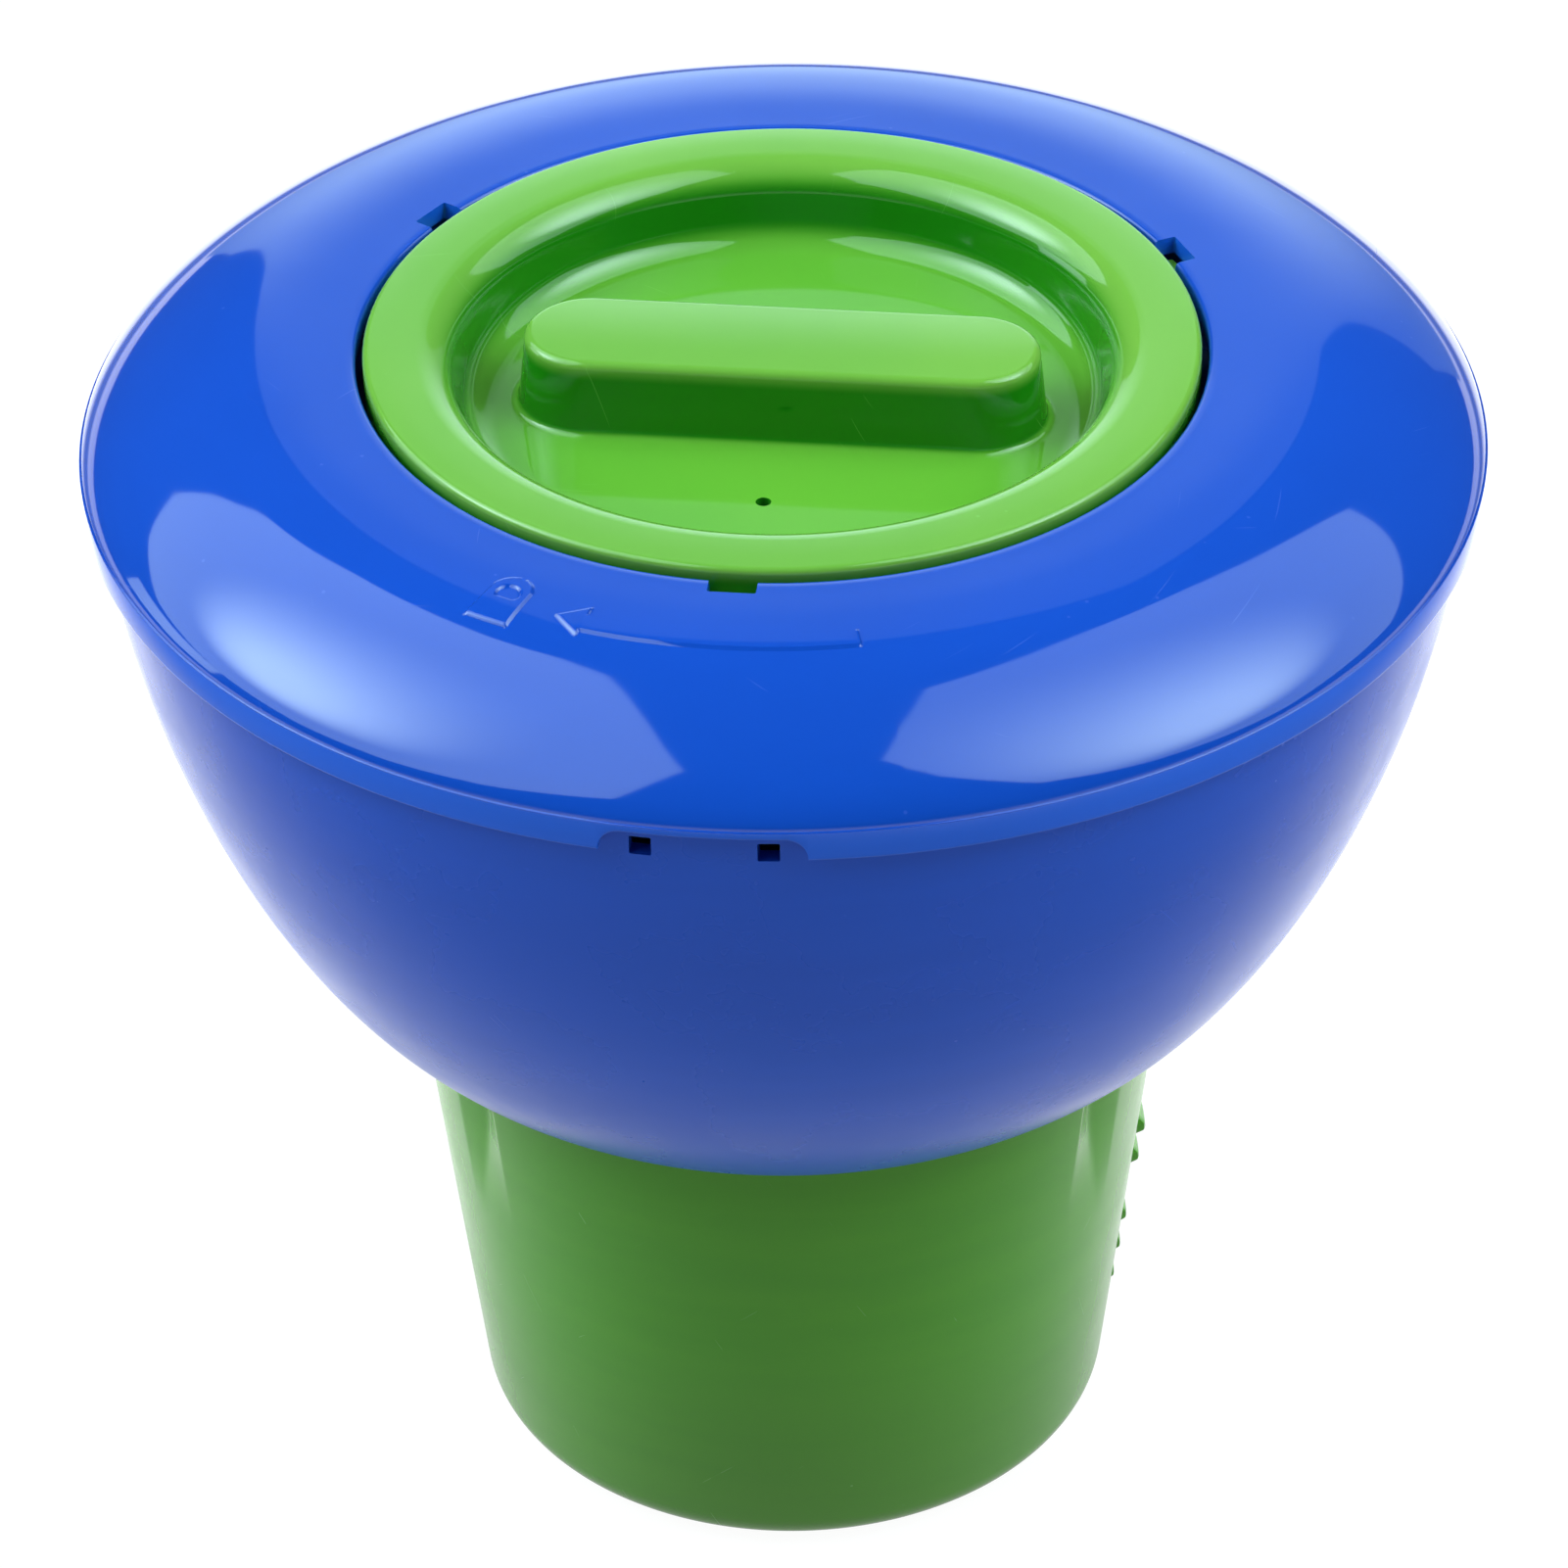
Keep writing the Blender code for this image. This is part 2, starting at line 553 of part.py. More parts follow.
def main():
    for leftover in list(bpy.data.objects):
        bpy.data.objects.remove(leftover)

    blue_gloss = plastic("cover_blue", COVER_BLUE, 0.18)
    blue_satin = plastic("bowl_blue", BOWL_BLUE, 0.42)
    green_gloss = plastic("lid_green", GREEN, 0.22)
    green_satin = plastic("cup_green", CUP_GREEN, 0.35)
    rubber = plastic("seal_rubber", RUBBER_GREY, 0.7)
    foam = plastic("float_foam", FOAM_WHITE, 0.9)

    float_cover(blue_gloss)
    float_bowl(blue_satin)
    inner_sleeve(blue_satin)
    buoyancy_foam(foam)
    tablet_cup(green_satin)
    vent_gate(green_satin)
    lid(green_gloss)

    ledge = SKIRT_TOP + 0.4
    rings = {
        "rim_gasket": (94.4, 97.2, BOWL_RIM + SEATED, ledge - SEATED),
        "collar_gasket": (65.2, 66.9, 166.5 + SEATED, COLLAR_BOTTOM - SEATED),
        "neck_gasket": (60.4, 64.6, NECK_SEAT + SEATED, CUP_FLANGE[0] - SEATED),
        "cup_gasket": (60.4, 64.6, CUP_FLANGE[1] + SEATED, SLEEVE_BOTTOM - SEATED),
        "lid_seal": (57.0, 59.2, SLEEVE_TOP + SEATED, LID_SKIRT_BOTTOM - SEATED),
    }
    for name, (inner, outer, low, high) in rings.items():
        gasket(name, square_ring(inner, outer, low, high), rubber)


main()
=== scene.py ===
"""Looks of the floating chlorine dispenser: finely moulded shells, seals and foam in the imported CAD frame.

Sizes are in millimetres and MM turns them into Blender's metres. Every shown piece stands for the CAD node
of the same name, in the same place, and rides on that node's body.
"""

import math

import bmesh
import bpy
from mathutils import Matrix, Vector


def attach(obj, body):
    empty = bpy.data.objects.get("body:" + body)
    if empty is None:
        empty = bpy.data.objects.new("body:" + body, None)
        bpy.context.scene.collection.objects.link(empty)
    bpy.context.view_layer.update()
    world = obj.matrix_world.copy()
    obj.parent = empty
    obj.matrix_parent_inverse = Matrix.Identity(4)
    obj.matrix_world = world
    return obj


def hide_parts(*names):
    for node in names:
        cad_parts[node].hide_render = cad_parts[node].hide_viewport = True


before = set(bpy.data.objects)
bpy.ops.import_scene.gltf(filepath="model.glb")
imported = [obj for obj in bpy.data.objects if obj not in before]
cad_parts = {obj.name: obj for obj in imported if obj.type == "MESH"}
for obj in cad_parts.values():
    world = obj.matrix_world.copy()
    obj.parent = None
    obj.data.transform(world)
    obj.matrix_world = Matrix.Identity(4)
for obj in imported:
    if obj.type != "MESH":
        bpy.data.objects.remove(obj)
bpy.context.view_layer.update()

MM = 0.001
FRONT = -90.0

# Points of a carved mesh that are closer than this are joined
WELD = 0.01

# Edges that turn more than this are shaded as sharp
SHARP_ANGLE = math.radians(30.0)

# Float cover
COVER_RADIUS = 100.0
COVER_WALL = 2.3
SKIRT_BOTTOM = 164.0
SKIRT_TOP = 168.6
SKIRT_INNER = 98.0
CREST_RADIUS = 70.0
CREST_HEIGHT = 182.6
DOME_FOOT = 99.7
DOME_POWERS = (1.8, 0.74)
CROWN_HEIGHT = 182.25
CROWN_RADII = (62.0, 82.0)
HOLE_RADIUS = 60.3
PLATE_UNDERSIDE = 179.6
COLLAR_RADII = (65.0, 67.0)
COLLAR_BOTTOM = 168.7
ARCH_HALF_WIDTH = 14.1
ARCH_TOP = 167.3
ARCH_CORNER = 3.2

# Raised signs on the cover, as places on it: angles about Z, and radii
SIGN_RISE = 0.36
SIGN_EASE = 0.4
SIGN_RADIUS = 75.0
SIGN_BAND = (68.0, 81.0)
SIGN_SECTOR = (-120.0, -72.0)
PADLOCK_ANGLE = -114.2
PADLOCK_HALF_WIDTH = 3.05
PADLOCK_SHOULDER = 72.1
PADLOCK_FOOT = 78.8
SHACKLE_CENTRE = 72.95
SHACKLE_RADIUS = 1.75
SHACKLE_FOOT = 74.0
ARROW_ANGLE = -107.9
ARROW_HEAD_RADIUS = 74.35
ARROW_HEAD_LENGTH = 4.15
ARROW_HEAD_HALF_WIDTH = 2.97
ARROW_HEAD_LEAN = 0.81
ARROW_SHAFT_RADIUS = 74.65
ARROW_SHAFT_HALF_WIDTH = 1.65
ARROW_SHAFT_RUN = (4.0, 42.0)

# Bayonet
BAYONET_ANGLES = (FRONT, 30.0, 150.0)
NOTCH_RADIUS = 63.4
NOTCH_WIDTH = 6.7
LUG_RADIUS = 62.8
LUG_WIDTH = 5.6
LUG_BOTTOM = 176.3
LUG_TOP = 178.9
LOCK_TURN = 28.0
STOP_RIB_WIDTH = 1.6

# Float bowl and inner sleeve
NECK_RADIUS = 59.2
NECK_BOTTOM = 80.0
NECK_CURVE_RADIUS = 57.0
NECK_SEAT = 90.0
NECK_SEAT_RADIUS = 66.8
BOWL_RIM_RADIUS = 97.6
BOWL_RIM = 166.3
BOWL_POWER = 1.57
BOWL_WALL = 2.2
TETHER_HOLE = 3.0
TETHER_SPACING = 17.2
TETHER_HEIGHT = 163.7
TETHER_CORNER = 0.25
SLEEVE_BORE = 57.5
SLEEVE_OUTER = 59.9
SLEEVE_FLANGE = 65.4
SLEEVE_BOTTOM = 96.8
SLEEVE_TOP = 171.4
SLEEVE_CROWN = 64.6
SLEEVE_SEAT_BORE = 56.4
SLEEVE_SHOULDER = (164.3, 166.5)

# Buoyancy foam
FOAM_BORE = 72.2
FOAM_HEIGHTS = (126.0, 158.0)
FOAM_GAP = 1.6
FOAM_EDGE = 1.2

# Tablet cup and vent gate
FOOT_RADIUS = 46.6
FOOT_FILLET = 6.1
DRAFT = math.radians(6.9)
CUP_WALL = 2.0
CUP_FLOOR = 2.2
CUP_FLANGE = (92.4, 94.8)
CUP_FLANGE_RADIUS = 65.6
CUP_TURN = 5.7
PANEL_START = 46.0
PANEL_FULL = 72.0
PANEL_END = 91.5
PANEL_RISE = 0.4
PANEL_EASES = (0.35, 0.2)
PANEL_HALF_ANGLE = 50.0
FLUTE_DEPTH = 1.4
FLUTE_ANGLES = (54.6, 62.5)
FLUTE_LEAN = 0.6
FLUTE_EASES = (0.15, 0.14)
GATE_ANGLE = 13.0
GATE_BOTTOM = 10.0
GATE_TOP = 46.0
GATE_HALF_ANGLE = 9.2
GATE_TONGUE_ANGLE = 11.2
GATE_DEPTHS = (0.3, 1.3, 2.3)
TRACK_DEPTHS = (1.0, 1.8, 2.6)
TRACK_HALF_ANGLES = (9.6, 11.6)
TRACK_ENDS = (9.6, 82.4)
PAD_DEPTH = 4.8
PAD_HALF_ANGLE = 13.5
RIDGE_PITCH = 5.6
RIDGE_TOP_PEAK = 42.1
RIDGE_ROWS = (0, 1, 3, 4, 5)
RIDGE_HALF_ANGLE = 6.9
RIDGE_RISE = (1.9, 0.9)
RIDGE_SLOPE = 3.1
RIDGE_FOOT = 1.5
RIDGE_ROOT = 1.2
RIDGE_END = 0.7
VENT_COUNT = 6
VENT_HEIGHT = 3.0
VENT_HALF_ANGLE = 6.5
DRAIN_COUNT = 8
DRAIN_RADIUS = 26.0
DRAIN_LENGTH = 16.0
DRAIN_WIDTH = 4.4

# Lid
LID_TOP = 183.3
LID_RADIUS = 59.3
LID_SKIRT_BORE = 56.6
LID_SKIRT_BOTTOM = 174.3
RECESS_FLOOR = 172.0
RECESS_FLOOR_EDGE = 40.8
RECESS_DRAFT = 15.6
FLOOR_FILLET = 5.0
MOUTH_EDGE = 52.0
MOUTH_FILLET = 5.6
LID_WALL = 2.3
# Corners of the recess wall seen from beneath, as (radius, height, fillet)
LID_UNDERSIDE = [(51.6, 181.0, 0.8), (49.6, 179.9, 0.5), (47.0, 174.2, 0.8), (45.0, 170.8, 1.0)]
BAR_LENGTH = 73.4
BAR_WIDTH = 18.6
BAR_DRAFT = 0.9
BAR_WALL = 2.2
BAR_EDGE = 1.25
BAR_FOOT = 1.3
PINHOLE_OFFSET = 25.0
PINHOLE_RADIUS = 1.1

# Materials: how a plastic's channels fade where its tint is deepest, and the radius that hairlines wrap at
TINT_DRIFT = (0.86, 0.93, 0.94)
WRAP_RADIUS = 80.0

# Studio, in metres. The plans of the two soft boxes are in units of their height over the cover.
BOX_HEIGHT = 1.45
LAMP_TINT = (0.76, 1.0, 1.02, 1.0)
LEFT_BOX_PLAN = [(-0.2, 0.3), (-0.2, -0.38), (-0.5, -0.85), (-1.2, -1.05), (-2.2, -1.1), (-3.5, -0.7),
                 (-3.9, 0.4), (-3.2, 1.4), (-2.0, 1.5), (-1.3, 1.4), (-0.7, 1.0), (-0.45, 0.75)]
RIGHT_BOX_PLAN = [(0.17, 0.2), (0.4, 0.55), (0.95, 1.0), (1.5, 1.05), (4.6, 1.15), (4.6, -0.9), (2.8, -1.1),
                  (1.6, -1.05), (0.8, -0.85), (0.33, -0.5), (0.17, -0.3)]
SIDE_PANEL_X = -4.9
SIDE_PANEL_DEPTHS = (0.4, 2.7)
SIDE_PANEL_HEIGHTS = (0.5, 1.44)
BACK_PANEL_Y = 2.2
BACK_PANEL = [(-0.78, 0.01), (-0.78, 0.4), (-0.5, 1.5), (-0.35, 2.6), (0.6, 2.6), (0.6, 1.5), (1.0, 1.0),
              (1.4, 0.5), (1.4, 0.01)]
FLOOR_HALF = 6.0
FLOOR_DROP = 0.0002
FLOOR_PAINT = (0.06, 0.06, 0.06, 1.0)
FLOOR_SEEN = 0.96
ROOM_SEEN = 1.0

# Camera: its lens and sensor in millimetres, its place in metres, and its axes as unit vectors
CAMERA_LENS = 179.9
CAMERA_SENSOR = 36.0
CAMERA_PLACE = (0.0, -0.94205, 0.76698)
CAMERA_RIGHT = (0.999920, -0.006864, -0.010582)
CAMERA_UP = (0.012605, 0.574039, 0.818731)

# The camera and the studio stand turned by this much about Z against the object
RIG_ANGLE = math.radians(6.6)
RIG_TURN = Matrix.Rotation(RIG_ANGLE, 4, 'Z')


# ---------------------------------------------------------------- mesh helpers

def polar(radius, degrees, height):
    """A point at a radius, an angle about Z and a height, in metres."""
    angle = math.radians(degrees)
    return Vector((radius * math.cos(angle), radius * math.sin(angle), height)) * MM


def smooth_step(value):
    """An eased 0 to 1."""
    value = min(1.0, max(0.0, value))
    return value * value * (3.0 - 2.0 * value)


def ramp(value, ease_in, ease_out):
    """A straight 0 to 1 with its start and its end eased over these shares of the way."""
    value = min(1.0, max(0.0, value))
    steep = 1.0 / (1.0 - (ease_in + ease_out) / 2.0)
    if value < ease_in:
        return steep * value * value / (2.0 * ease_in)
    if value > 1.0 - ease_out:
        return 1.0 - steep * (1.0 - value) ** 2 / (2.0 * ease_out)
    return steep * (value - ease_in / 2.0)


def even(count, start=0.0):
    """Evenly spaced angles round the circle, in degrees."""
    return [start + 360.0 * i / count for i in range(count)]


def arc(centre, radius, start, stop, steps):
    """Points along an arc in a plane, its angles in degrees."""
    angles = [math.radians(start + (stop - start) * k / steps) for k in range(steps + 1)]
    return [(centre[0] + radius * math.cos(a), centre[1] + radius * math.sin(a)) for a in angles]


def rounded(corners, steps=4):
    """A closed outline from (x, y, fillet) corners, each eased by an arc."""
    points = []
    for i, (x, y, fillet) in enumerate(corners):
        here = Vector((x, y))
        if fillet <= 0.0:
            points.append((x, y))
            continue
        before = Vector(corners[i - 1][:2]) - here
        after = Vector(corners[(i + 1) % len(corners)][:2]) - here
        half = before.angle(after) / 2.0
        reach = min(fillet / math.tan(half), 0.48 * before.length, 0.48 * after.length)
        radius = reach * math.tan(half)
        centre = here + (before.normalized() + after.normalized()).normalized() * (radius / math.sin(half))
        first = here + before.normalized() * reach - centre
        last = here + after.normalized() * reach - centre
        span = first.angle(last)
        for k in range(steps + 1):
            share = k / steps
            swung = first * math.sin((1.0 - share) * span) + last * math.sin(share * span)
            point = centre + swung / math.sin(span)
            points.append((point.x, point.y))
    return points


def add_grid(bm, outline_at, angles):
    """Turn a closed (radius, height) outline, which may change with the angle, about Z."""
    columns = [outline_at(angle) for angle in angles]
    count = len(columns[0])
    rings = []
    for row in range(count):
        if columns[0][row][0] < 1e-6:
            centre = bm.verts.new(Vector((0.0, 0.0, columns[0][row][1])) * MM)
            rings.append([centre] * len(angles))
        else:
            rings.append([bm.verts.new(polar(column[row][0], angle, column[row][1]))
                          for column, angle in zip(columns, angles)])
    for here, after in zip(rings, rings[1:] + rings[:1]):
        for i in range(len(angles)):
            j = (i + 1) % len(angles)
            corners = []
            for vert in (here[i], here[j], after[j], after[i]):
                if vert not in corners:
                    corners.append(vert)
            if len(corners) > 2:
                bm.faces.new(corners)


def add_loops(bm, loops):
    """Skin a list of equal point loops and cap both ends."""
    rings = [[bm.verts.new(point) for point in loop] for loop in loops]
    for lower, upper in zip(rings, rings[1:]):
        for i in range(len(lower)):
            j = (i + 1) % len(lower)
            bm.faces.new((lower[i], lower[j], upper[j], upper[i]))
    bm.faces.new(reversed(rings[0]))
    bm.faces.new(rings[-1])


def add_wedge(bm, section_at, middle, half_angle, steps):
    """Sweep a (radius, height) outline, given for each angle, across a sector of the circle about Z."""
    loops = []
    for i in range(steps + 1):
        angle = middle - half_angle + 2.0 * half_angle * i / steps
        loops.append([polar(radius, angle, height) for radius, height in section_at(angle)])
    add_loops(bm, loops)


def add_prism(bm, outline, low, high, place):
    """Raise a flat outline in millimetres from one depth to another, then place it."""
    add_loops(bm, [[place @ (Vector((x, y, depth)) * MM) for x, y in outline] for depth in (low, high)])


def to_object(name, bm):
    """Turn a bmesh into an object with outward faces."""
    bmesh.ops.recalc_face_normals(bm, faces=bm.faces)
    mesh = bpy.data.meshes.new(name)
    bm.to_mesh(mesh)
    bm.free()
    piece = bpy.data.objects.new(name, mesh)
    bpy.context.scene.collection.objects.link(piece)
    return piece


def carve(piece, cuts):
    """Apply exact Booleans to a piece: each cut is an operation and a tool mesh, and the tools go.

    The points that the cuts leave closer than WELD are joined, which clears the slivers along their edges.
    """
    for operation, tool_mesh in cuts:
        tool = to_object(piece.name + ".tool", tool_mesh)
        modifier = piece.modifiers.new("cut", 'BOOLEAN')
        modifier.operation = operation
        modifier.solver = 'EXACT'
        modifier.object = tool
        bpy.context.view_layer.update()
        result = bpy.data.meshes.new_from_object(piece.evaluated_get(bpy.context.evaluated_depsgraph_get()))
        piece.modifiers.clear()
        piece.data = result
        bpy.data.objects.remove(tool)
    seams = bmesh.new()
    seams.from_mesh(piece.data)
    bmesh.ops.remove_doubles(seams, verts=seams.verts, dist=WELD * MM)
    bmesh.ops.dissolve_degenerate(seams, edges=seams.edges, dist=WELD * MM)
    seams.to_mesh(piece.data)
    seams.free()
    return piece


def finish_piece(piece, node, body, material):
    """Shade a piece, give it its material, and stand it for its CAD node."""
    mesh = piece.data
    mesh.materials.clear()
    mesh.materials.append(material)
    mesh.shade_smooth()
    mesh.set_sharp_from_angle(angle=SHARP_ANGLE)
    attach(piece, body)
    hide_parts(node)


# ---------------------------------------------------------------- shape rules

def dome_point(share):
    """The cover's dome, from the skirt (share 1) in to its crest (share 0)."""
    reach = DOME_FOOT - CREST_RADIUS
    rise = CREST_HEIGHT - SKIRT_TOP
    power_in, power_out = DOME_POWERS
    return CREST_RADIUS + reach * share, SKIRT_TOP + rise * (1.0 - share ** power_in) ** power_out


def crown_height(radius):
    """The height of the cover near its hole: flat at the hole, running smoothly into the dome."""
    inner, outer = CROWN_RADII
    width = outer - inner
    reach = DOME_FOOT - CREST_RADIUS
    step = 0.1
    end = dome_point((outer - CREST_RADIUS) / reach)[1]
    slope = (dome_point((outer + step - CREST_RADIUS) / reach)[1] - end) / step
    share = min(1.0, max(0.0, (radius - inner) / width))
    level = CROWN_HEIGHT + (end - CROWN_HEIGHT) * smooth_step(share)
    return level + slope * width * share * share * (share - 1.0)


def inset(points, distance):
    """Shift an open (radius, height) line sideways, to the left of its direction."""
    shifted = []
    for i, (radius, height) in enumerate(points):
        before = points[max(i - 1, 0)]
        after = points[min(i + 1, len(points) - 1)]
        along = Vector((after[0] - before[0], after[1] - before[1])).normalized()
        shifted.append((radius - distance * along.y, height + distance * along.x))
    return shifted


def bowl_radius(height):
    """The bowl's outer radius: a superellipse from its neck to its rim."""
    level = (height - NECK_BOTTOM) / (BOWL_RIM - NECK_BOTTOM)
    spread = (1.0 - (1.0 - level) ** BOWL_POWER) ** (1.0 / BOWL_POWER)
    return NECK_CURVE_RADIUS + (BOWL_RIM_RADIUS - NECK_CURVE_RADIUS) * spread


def cup_radius(height):
    """The cup's outer radius: a cone with the moulding draft."""
    return FOOT_RADIUS + height * math.tan(DRAFT)


def cone_band(inner_depth, outer_depth, low, high):
    """A four-sided section that follows the cup's cone, between two depths below its surface."""
    return [(cup_radius(low) - inner_depth, low), (cup_radius(low) - outer_depth, low),
            (cup_radius(high) - outer_depth, high), (cup_radius(high) - inner_depth, high)]


def stadium(length, width, count):
    """A long outline with round ends, its points evenly spaced, starting at its +X end."""
    radius = width / 2.0
    middle = length / 2.0 - radius
    quarter = math.pi * radius / 2.0
    total = 4.0 * (quarter + middle)
    points = []
    for i in range(count):
        run = total * i / count
        side = 1.0
        if run > total / 2.0:
            run = total - run
            side = -1.0
        if run <= quarter:
            angle = run / radius
            point = (middle + radius * math.cos(angle), radius * math.sin(angle))
        elif run <= quarter + 2.0 * middle:
            point = (middle - (run - quarter), radius)
        else:
            angle = math.pi / 2.0 + (run - quarter - 2.0 * middle) / radius
            point = (-middle + radius * math.cos(angle), radius * math.sin(angle))
        points.append((point[0], side * point[1]))
    return points


# ---------------------------------------------------------------- emboss on the cover

def padlock_distance(degrees, radius):
    """How far outside the padlock sign a point of the cover lies, in millimetres."""
    across = math.radians(degrees - PADLOCK_ANGLE) * SIGN_RADIUS
    body = max(abs(across) - PADLOCK_HALF_WIDTH, radius - PADLOCK_FOOT)
    if radius < PADLOCK_SHOULDER:
        body = math.hypot(across, radius - PADLOCK_SHOULDER) - PADLOCK_HALF_WIDTH
    shackle = max(math.hypot(across, radius - SHACKLE_CENTRE) - SHACKLE_RADIUS, radius - SHACKLE_FOOT)
    return max(body, -shackle)


def arrow_distance(degrees, radius):
    """How far outside the curved arrow sign a point of the cover lies, in millimetres."""
    along = math.radians(degrees - ARROW_ANGLE) * SIGN_RADIUS
    widening = ARROW_HEAD_HALF_WIDTH * along / ARROW_HEAD_LENGTH
    head = max((abs(radius - ARROW_HEAD_RADIUS) - widening) * ARROW_HEAD_LEAN, along - ARROW_HEAD_LENGTH)
    start, stop = ARROW_SHAFT_RUN
    shaft = max(abs(radius - ARROW_SHAFT_RADIUS) - ARROW_SHAFT_HALF_WIDTH, start - along, along - stop)
    return min(head, shaft)


def emboss(degrees, radius):
    """The height of the raised signs above the dome."""
    if not SIGN_BAND[0] < radius < SIGN_BAND[1] or not SIGN_SECTOR[0] < degrees < SIGN_SECTOR[1]:
        return 0.0
    distance = min(padlock_distance(degrees, radius), arrow_distance(degrees, radius))
    return SIGN_RISE * smooth_step(0.5 - distance / SIGN_EASE)


# ---------------------------------------------------------------- pieces

def make_cover():
    """The domed cover: a turned shell with the pry arch and the raised signs, then ribs and notches."""
    quarter = [math.radians(3.0 * k) for k in range(30, -1, -1)]
    plain = [dome_point(math.sin(angle)) for angle in quarter]
    sign_radii = [SIGN_BAND[0] + 0.4 + 0.22 * k for k in range(56)]
    crown_radii = [81.6, 81.1] + sign_radii[::-1] + [67.0, 65.0, 63.0, 61.9]
    dome = [point for point in plain if point[0] > CROWN_RADII[1] + 0.1]
    dome += [(radius, crown_height(radius)) for radius in crown_radii]
    ledge = SKIRT_TOP + 0.4
    lining_reach = 0.80
    lining = inset([dome_point(lining_reach * k / 12.0) for k in range(12, -1, -1)], COVER_WALL)
    corners = [(SKIRT_INNER, SKIRT_BOTTOM, 0.25), (COVER_RADIUS, SKIRT_BOTTOM, 0.45),
               (COVER_RADIUS, SKIRT_TOP - 0.1, 0.3)]
    corners += [(radius, height, 0.0) for radius, height in dome]
    corners += [(HOLE_RADIUS, CROWN_HEIGHT, 0.7), (HOLE_RADIUS, PLATE_UNDERSIDE, 0.0),
                (COLLAR_RADII[0], PLATE_UNDERSIDE, 0.0), (COLLAR_RADII[0], COLLAR_BOTTOM, 0.0),
                (COLLAR_RADII[1], COLLAR_BOTTOM, 0.0), (COLLAR_RADII[1], PLATE_UNDERSIDE + 0.4, 0.0)]
    corners += [(radius, height, 0.0) for radius, height in reversed(lining)]
    corners += [(lining[0][0], ledge, 0.0), (SKIRT_INNER, ledge, 0.0)]
    outline = rounded(corners)

    def arch_lift(angle):
        across = abs(math.cos(math.radians(angle)) * COVER_RADIUS)
        if across >= ARCH_HALF_WIDTH or math.sin(math.radians(angle)) > 0.0:
            return 0.0
        over = max(0.0, across - (ARCH_HALF_WIDTH - ARCH_CORNER))
        drop = ARCH_CORNER - math.sqrt(ARCH_CORNER ** 2 - over ** 2)
        return ARCH_TOP - drop - SKIRT_BOTTOM

    def at(angle):
        lift = arch_lift(angle)
        column = []
        for radius, height in outline:
            if height < SKIRT_BOTTOM + 1.0:
                height += lift
            elif height > CREST_HEIGHT - 6.0 and radius > SIGN_BAND[0]:
                height += emboss(angle, radius)
            column.append((radius, height))
        return column

    edge = math.degrees(math.asin(ARCH_HALF_WIDTH / COVER_RADIUS))
    fine = [-118.6 + 0.16 * k for k in range(280)]
    angles = fine + [FRONT + side * edge + step for side in (-1.0, 1.0) for step in (-0.01, 0.01)]
    coarse_count = 210
    coarse_span = fine[0] + 360.0 - fine[-1]
    angles += [fine[-1] + coarse_span * k / coarse_count for k in range(1, coarse_count)]
    bm = bmesh.new()
    add_grid(bm, at, sorted(angles))
    cover = to_object("cover_shell", bm)

    ribs = bmesh.new()
    notches = bmesh.new()
    lug_edge = math.degrees(LUG_WIDTH / 2.0 / LUG_RADIUS)
    rib_half = math.degrees(STOP_RIB_WIDTH / 2.0 / LUG_RADIUS)
    rib = [(HOLE_RADIUS + 0.4, LUG_BOTTOM), (COLLAR_RADII[1] - 0.8, LUG_BOTTOM),
           (COLLAR_RADII[1] - 0.8, PLATE_UNDERSIDE + 0.8), (HOLE_RADIUS + 0.4, PLATE_UNDERSIDE + 0.8)]
    half = NOTCH_WIDTH / 2.0
    slot = rounded([(HOLE_RADIUS - 3.0, -half, 0.0), (NOTCH_RADIUS, -half, 0.35), (NOTCH_RADIUS, half, 0.35),
                    (HOLE_RADIUS - 3.0, half, 0.0)])
    for angle in BAYONET_ANGLES:
        add_wedge(ribs, lambda _: rib, angle - LOCK_TURN - lug_edge - rib_half - 0.5, rib_half, 1)
        turn = Matrix.Rotation(math.radians(angle), 4, 'Z')
        add_prism(notches, slot, PLATE_UNDERSIDE - 0.6, CREST_HEIGHT + 2.0, turn)
    return carve(cover, [('UNION', ribs), ('DIFFERENCE', notches)])


def make_bowl():
    """The lower shell, with its neck ring, gasket rim and two square tether holes."""
    levels = [0.012 + 0.988 * (k / 44.0) ** 1.35 for k in range(45)]
    heights = [NECK_BOTTOM + (BOWL_RIM - NECK_BOTTOM) * level for level in levels]
    skin = [(bowl_radius(height), height) for height in heights]
    lining = [point for point in inset(skin, BOWL_WALL) if NECK_SEAT + 1.0 < point[1] < BOWL_RIM - 3.0]
    corners = [(NECK_RADIUS, NECK_BOTTOM + 0.7, 0.4)]
    corners += [(radius, height, 0.0) for radius, height in skin]
    corners += [(BOWL_RIM_RADIUS - 3.6, BOWL_RIM, 0.3), (BOWL_RIM_RADIUS - 3.6, BOWL_RIM - 2.0, 0.0)]
    corners += [(radius, height, 0.0) for radius, height in reversed(lining)]
    corners += [(NECK_SEAT_RADIUS, NECK_SEAT, 0.0), (NECK_RADIUS, NECK_SEAT, 0.4)]
    outline = rounded(corners)
    bm = bmesh.new()
    add_grid(bm, lambda _: outline, even(288))
    bowl = to_object("bowl_shell", bm)

    upright = Matrix.Rotation(math.radians(90), 4, 'X')
    half = TETHER_HOLE / 2.0
    holes = bmesh.new()
    for side in (-1, 1):
        middle = side * TETHER_SPACING / 2.0
        square = rounded([(middle + x * half, TETHER_HEIGHT + z * half, TETHER_CORNER)
                          for x, z in ((-1, -1), (1, -1), (1, 1), (-1, 1))])
        add_prism(holes, square, 90.0, COVER_RADIUS + 3.0, upright)
    return carve(bowl, [('DIFFERENCE', holes)])


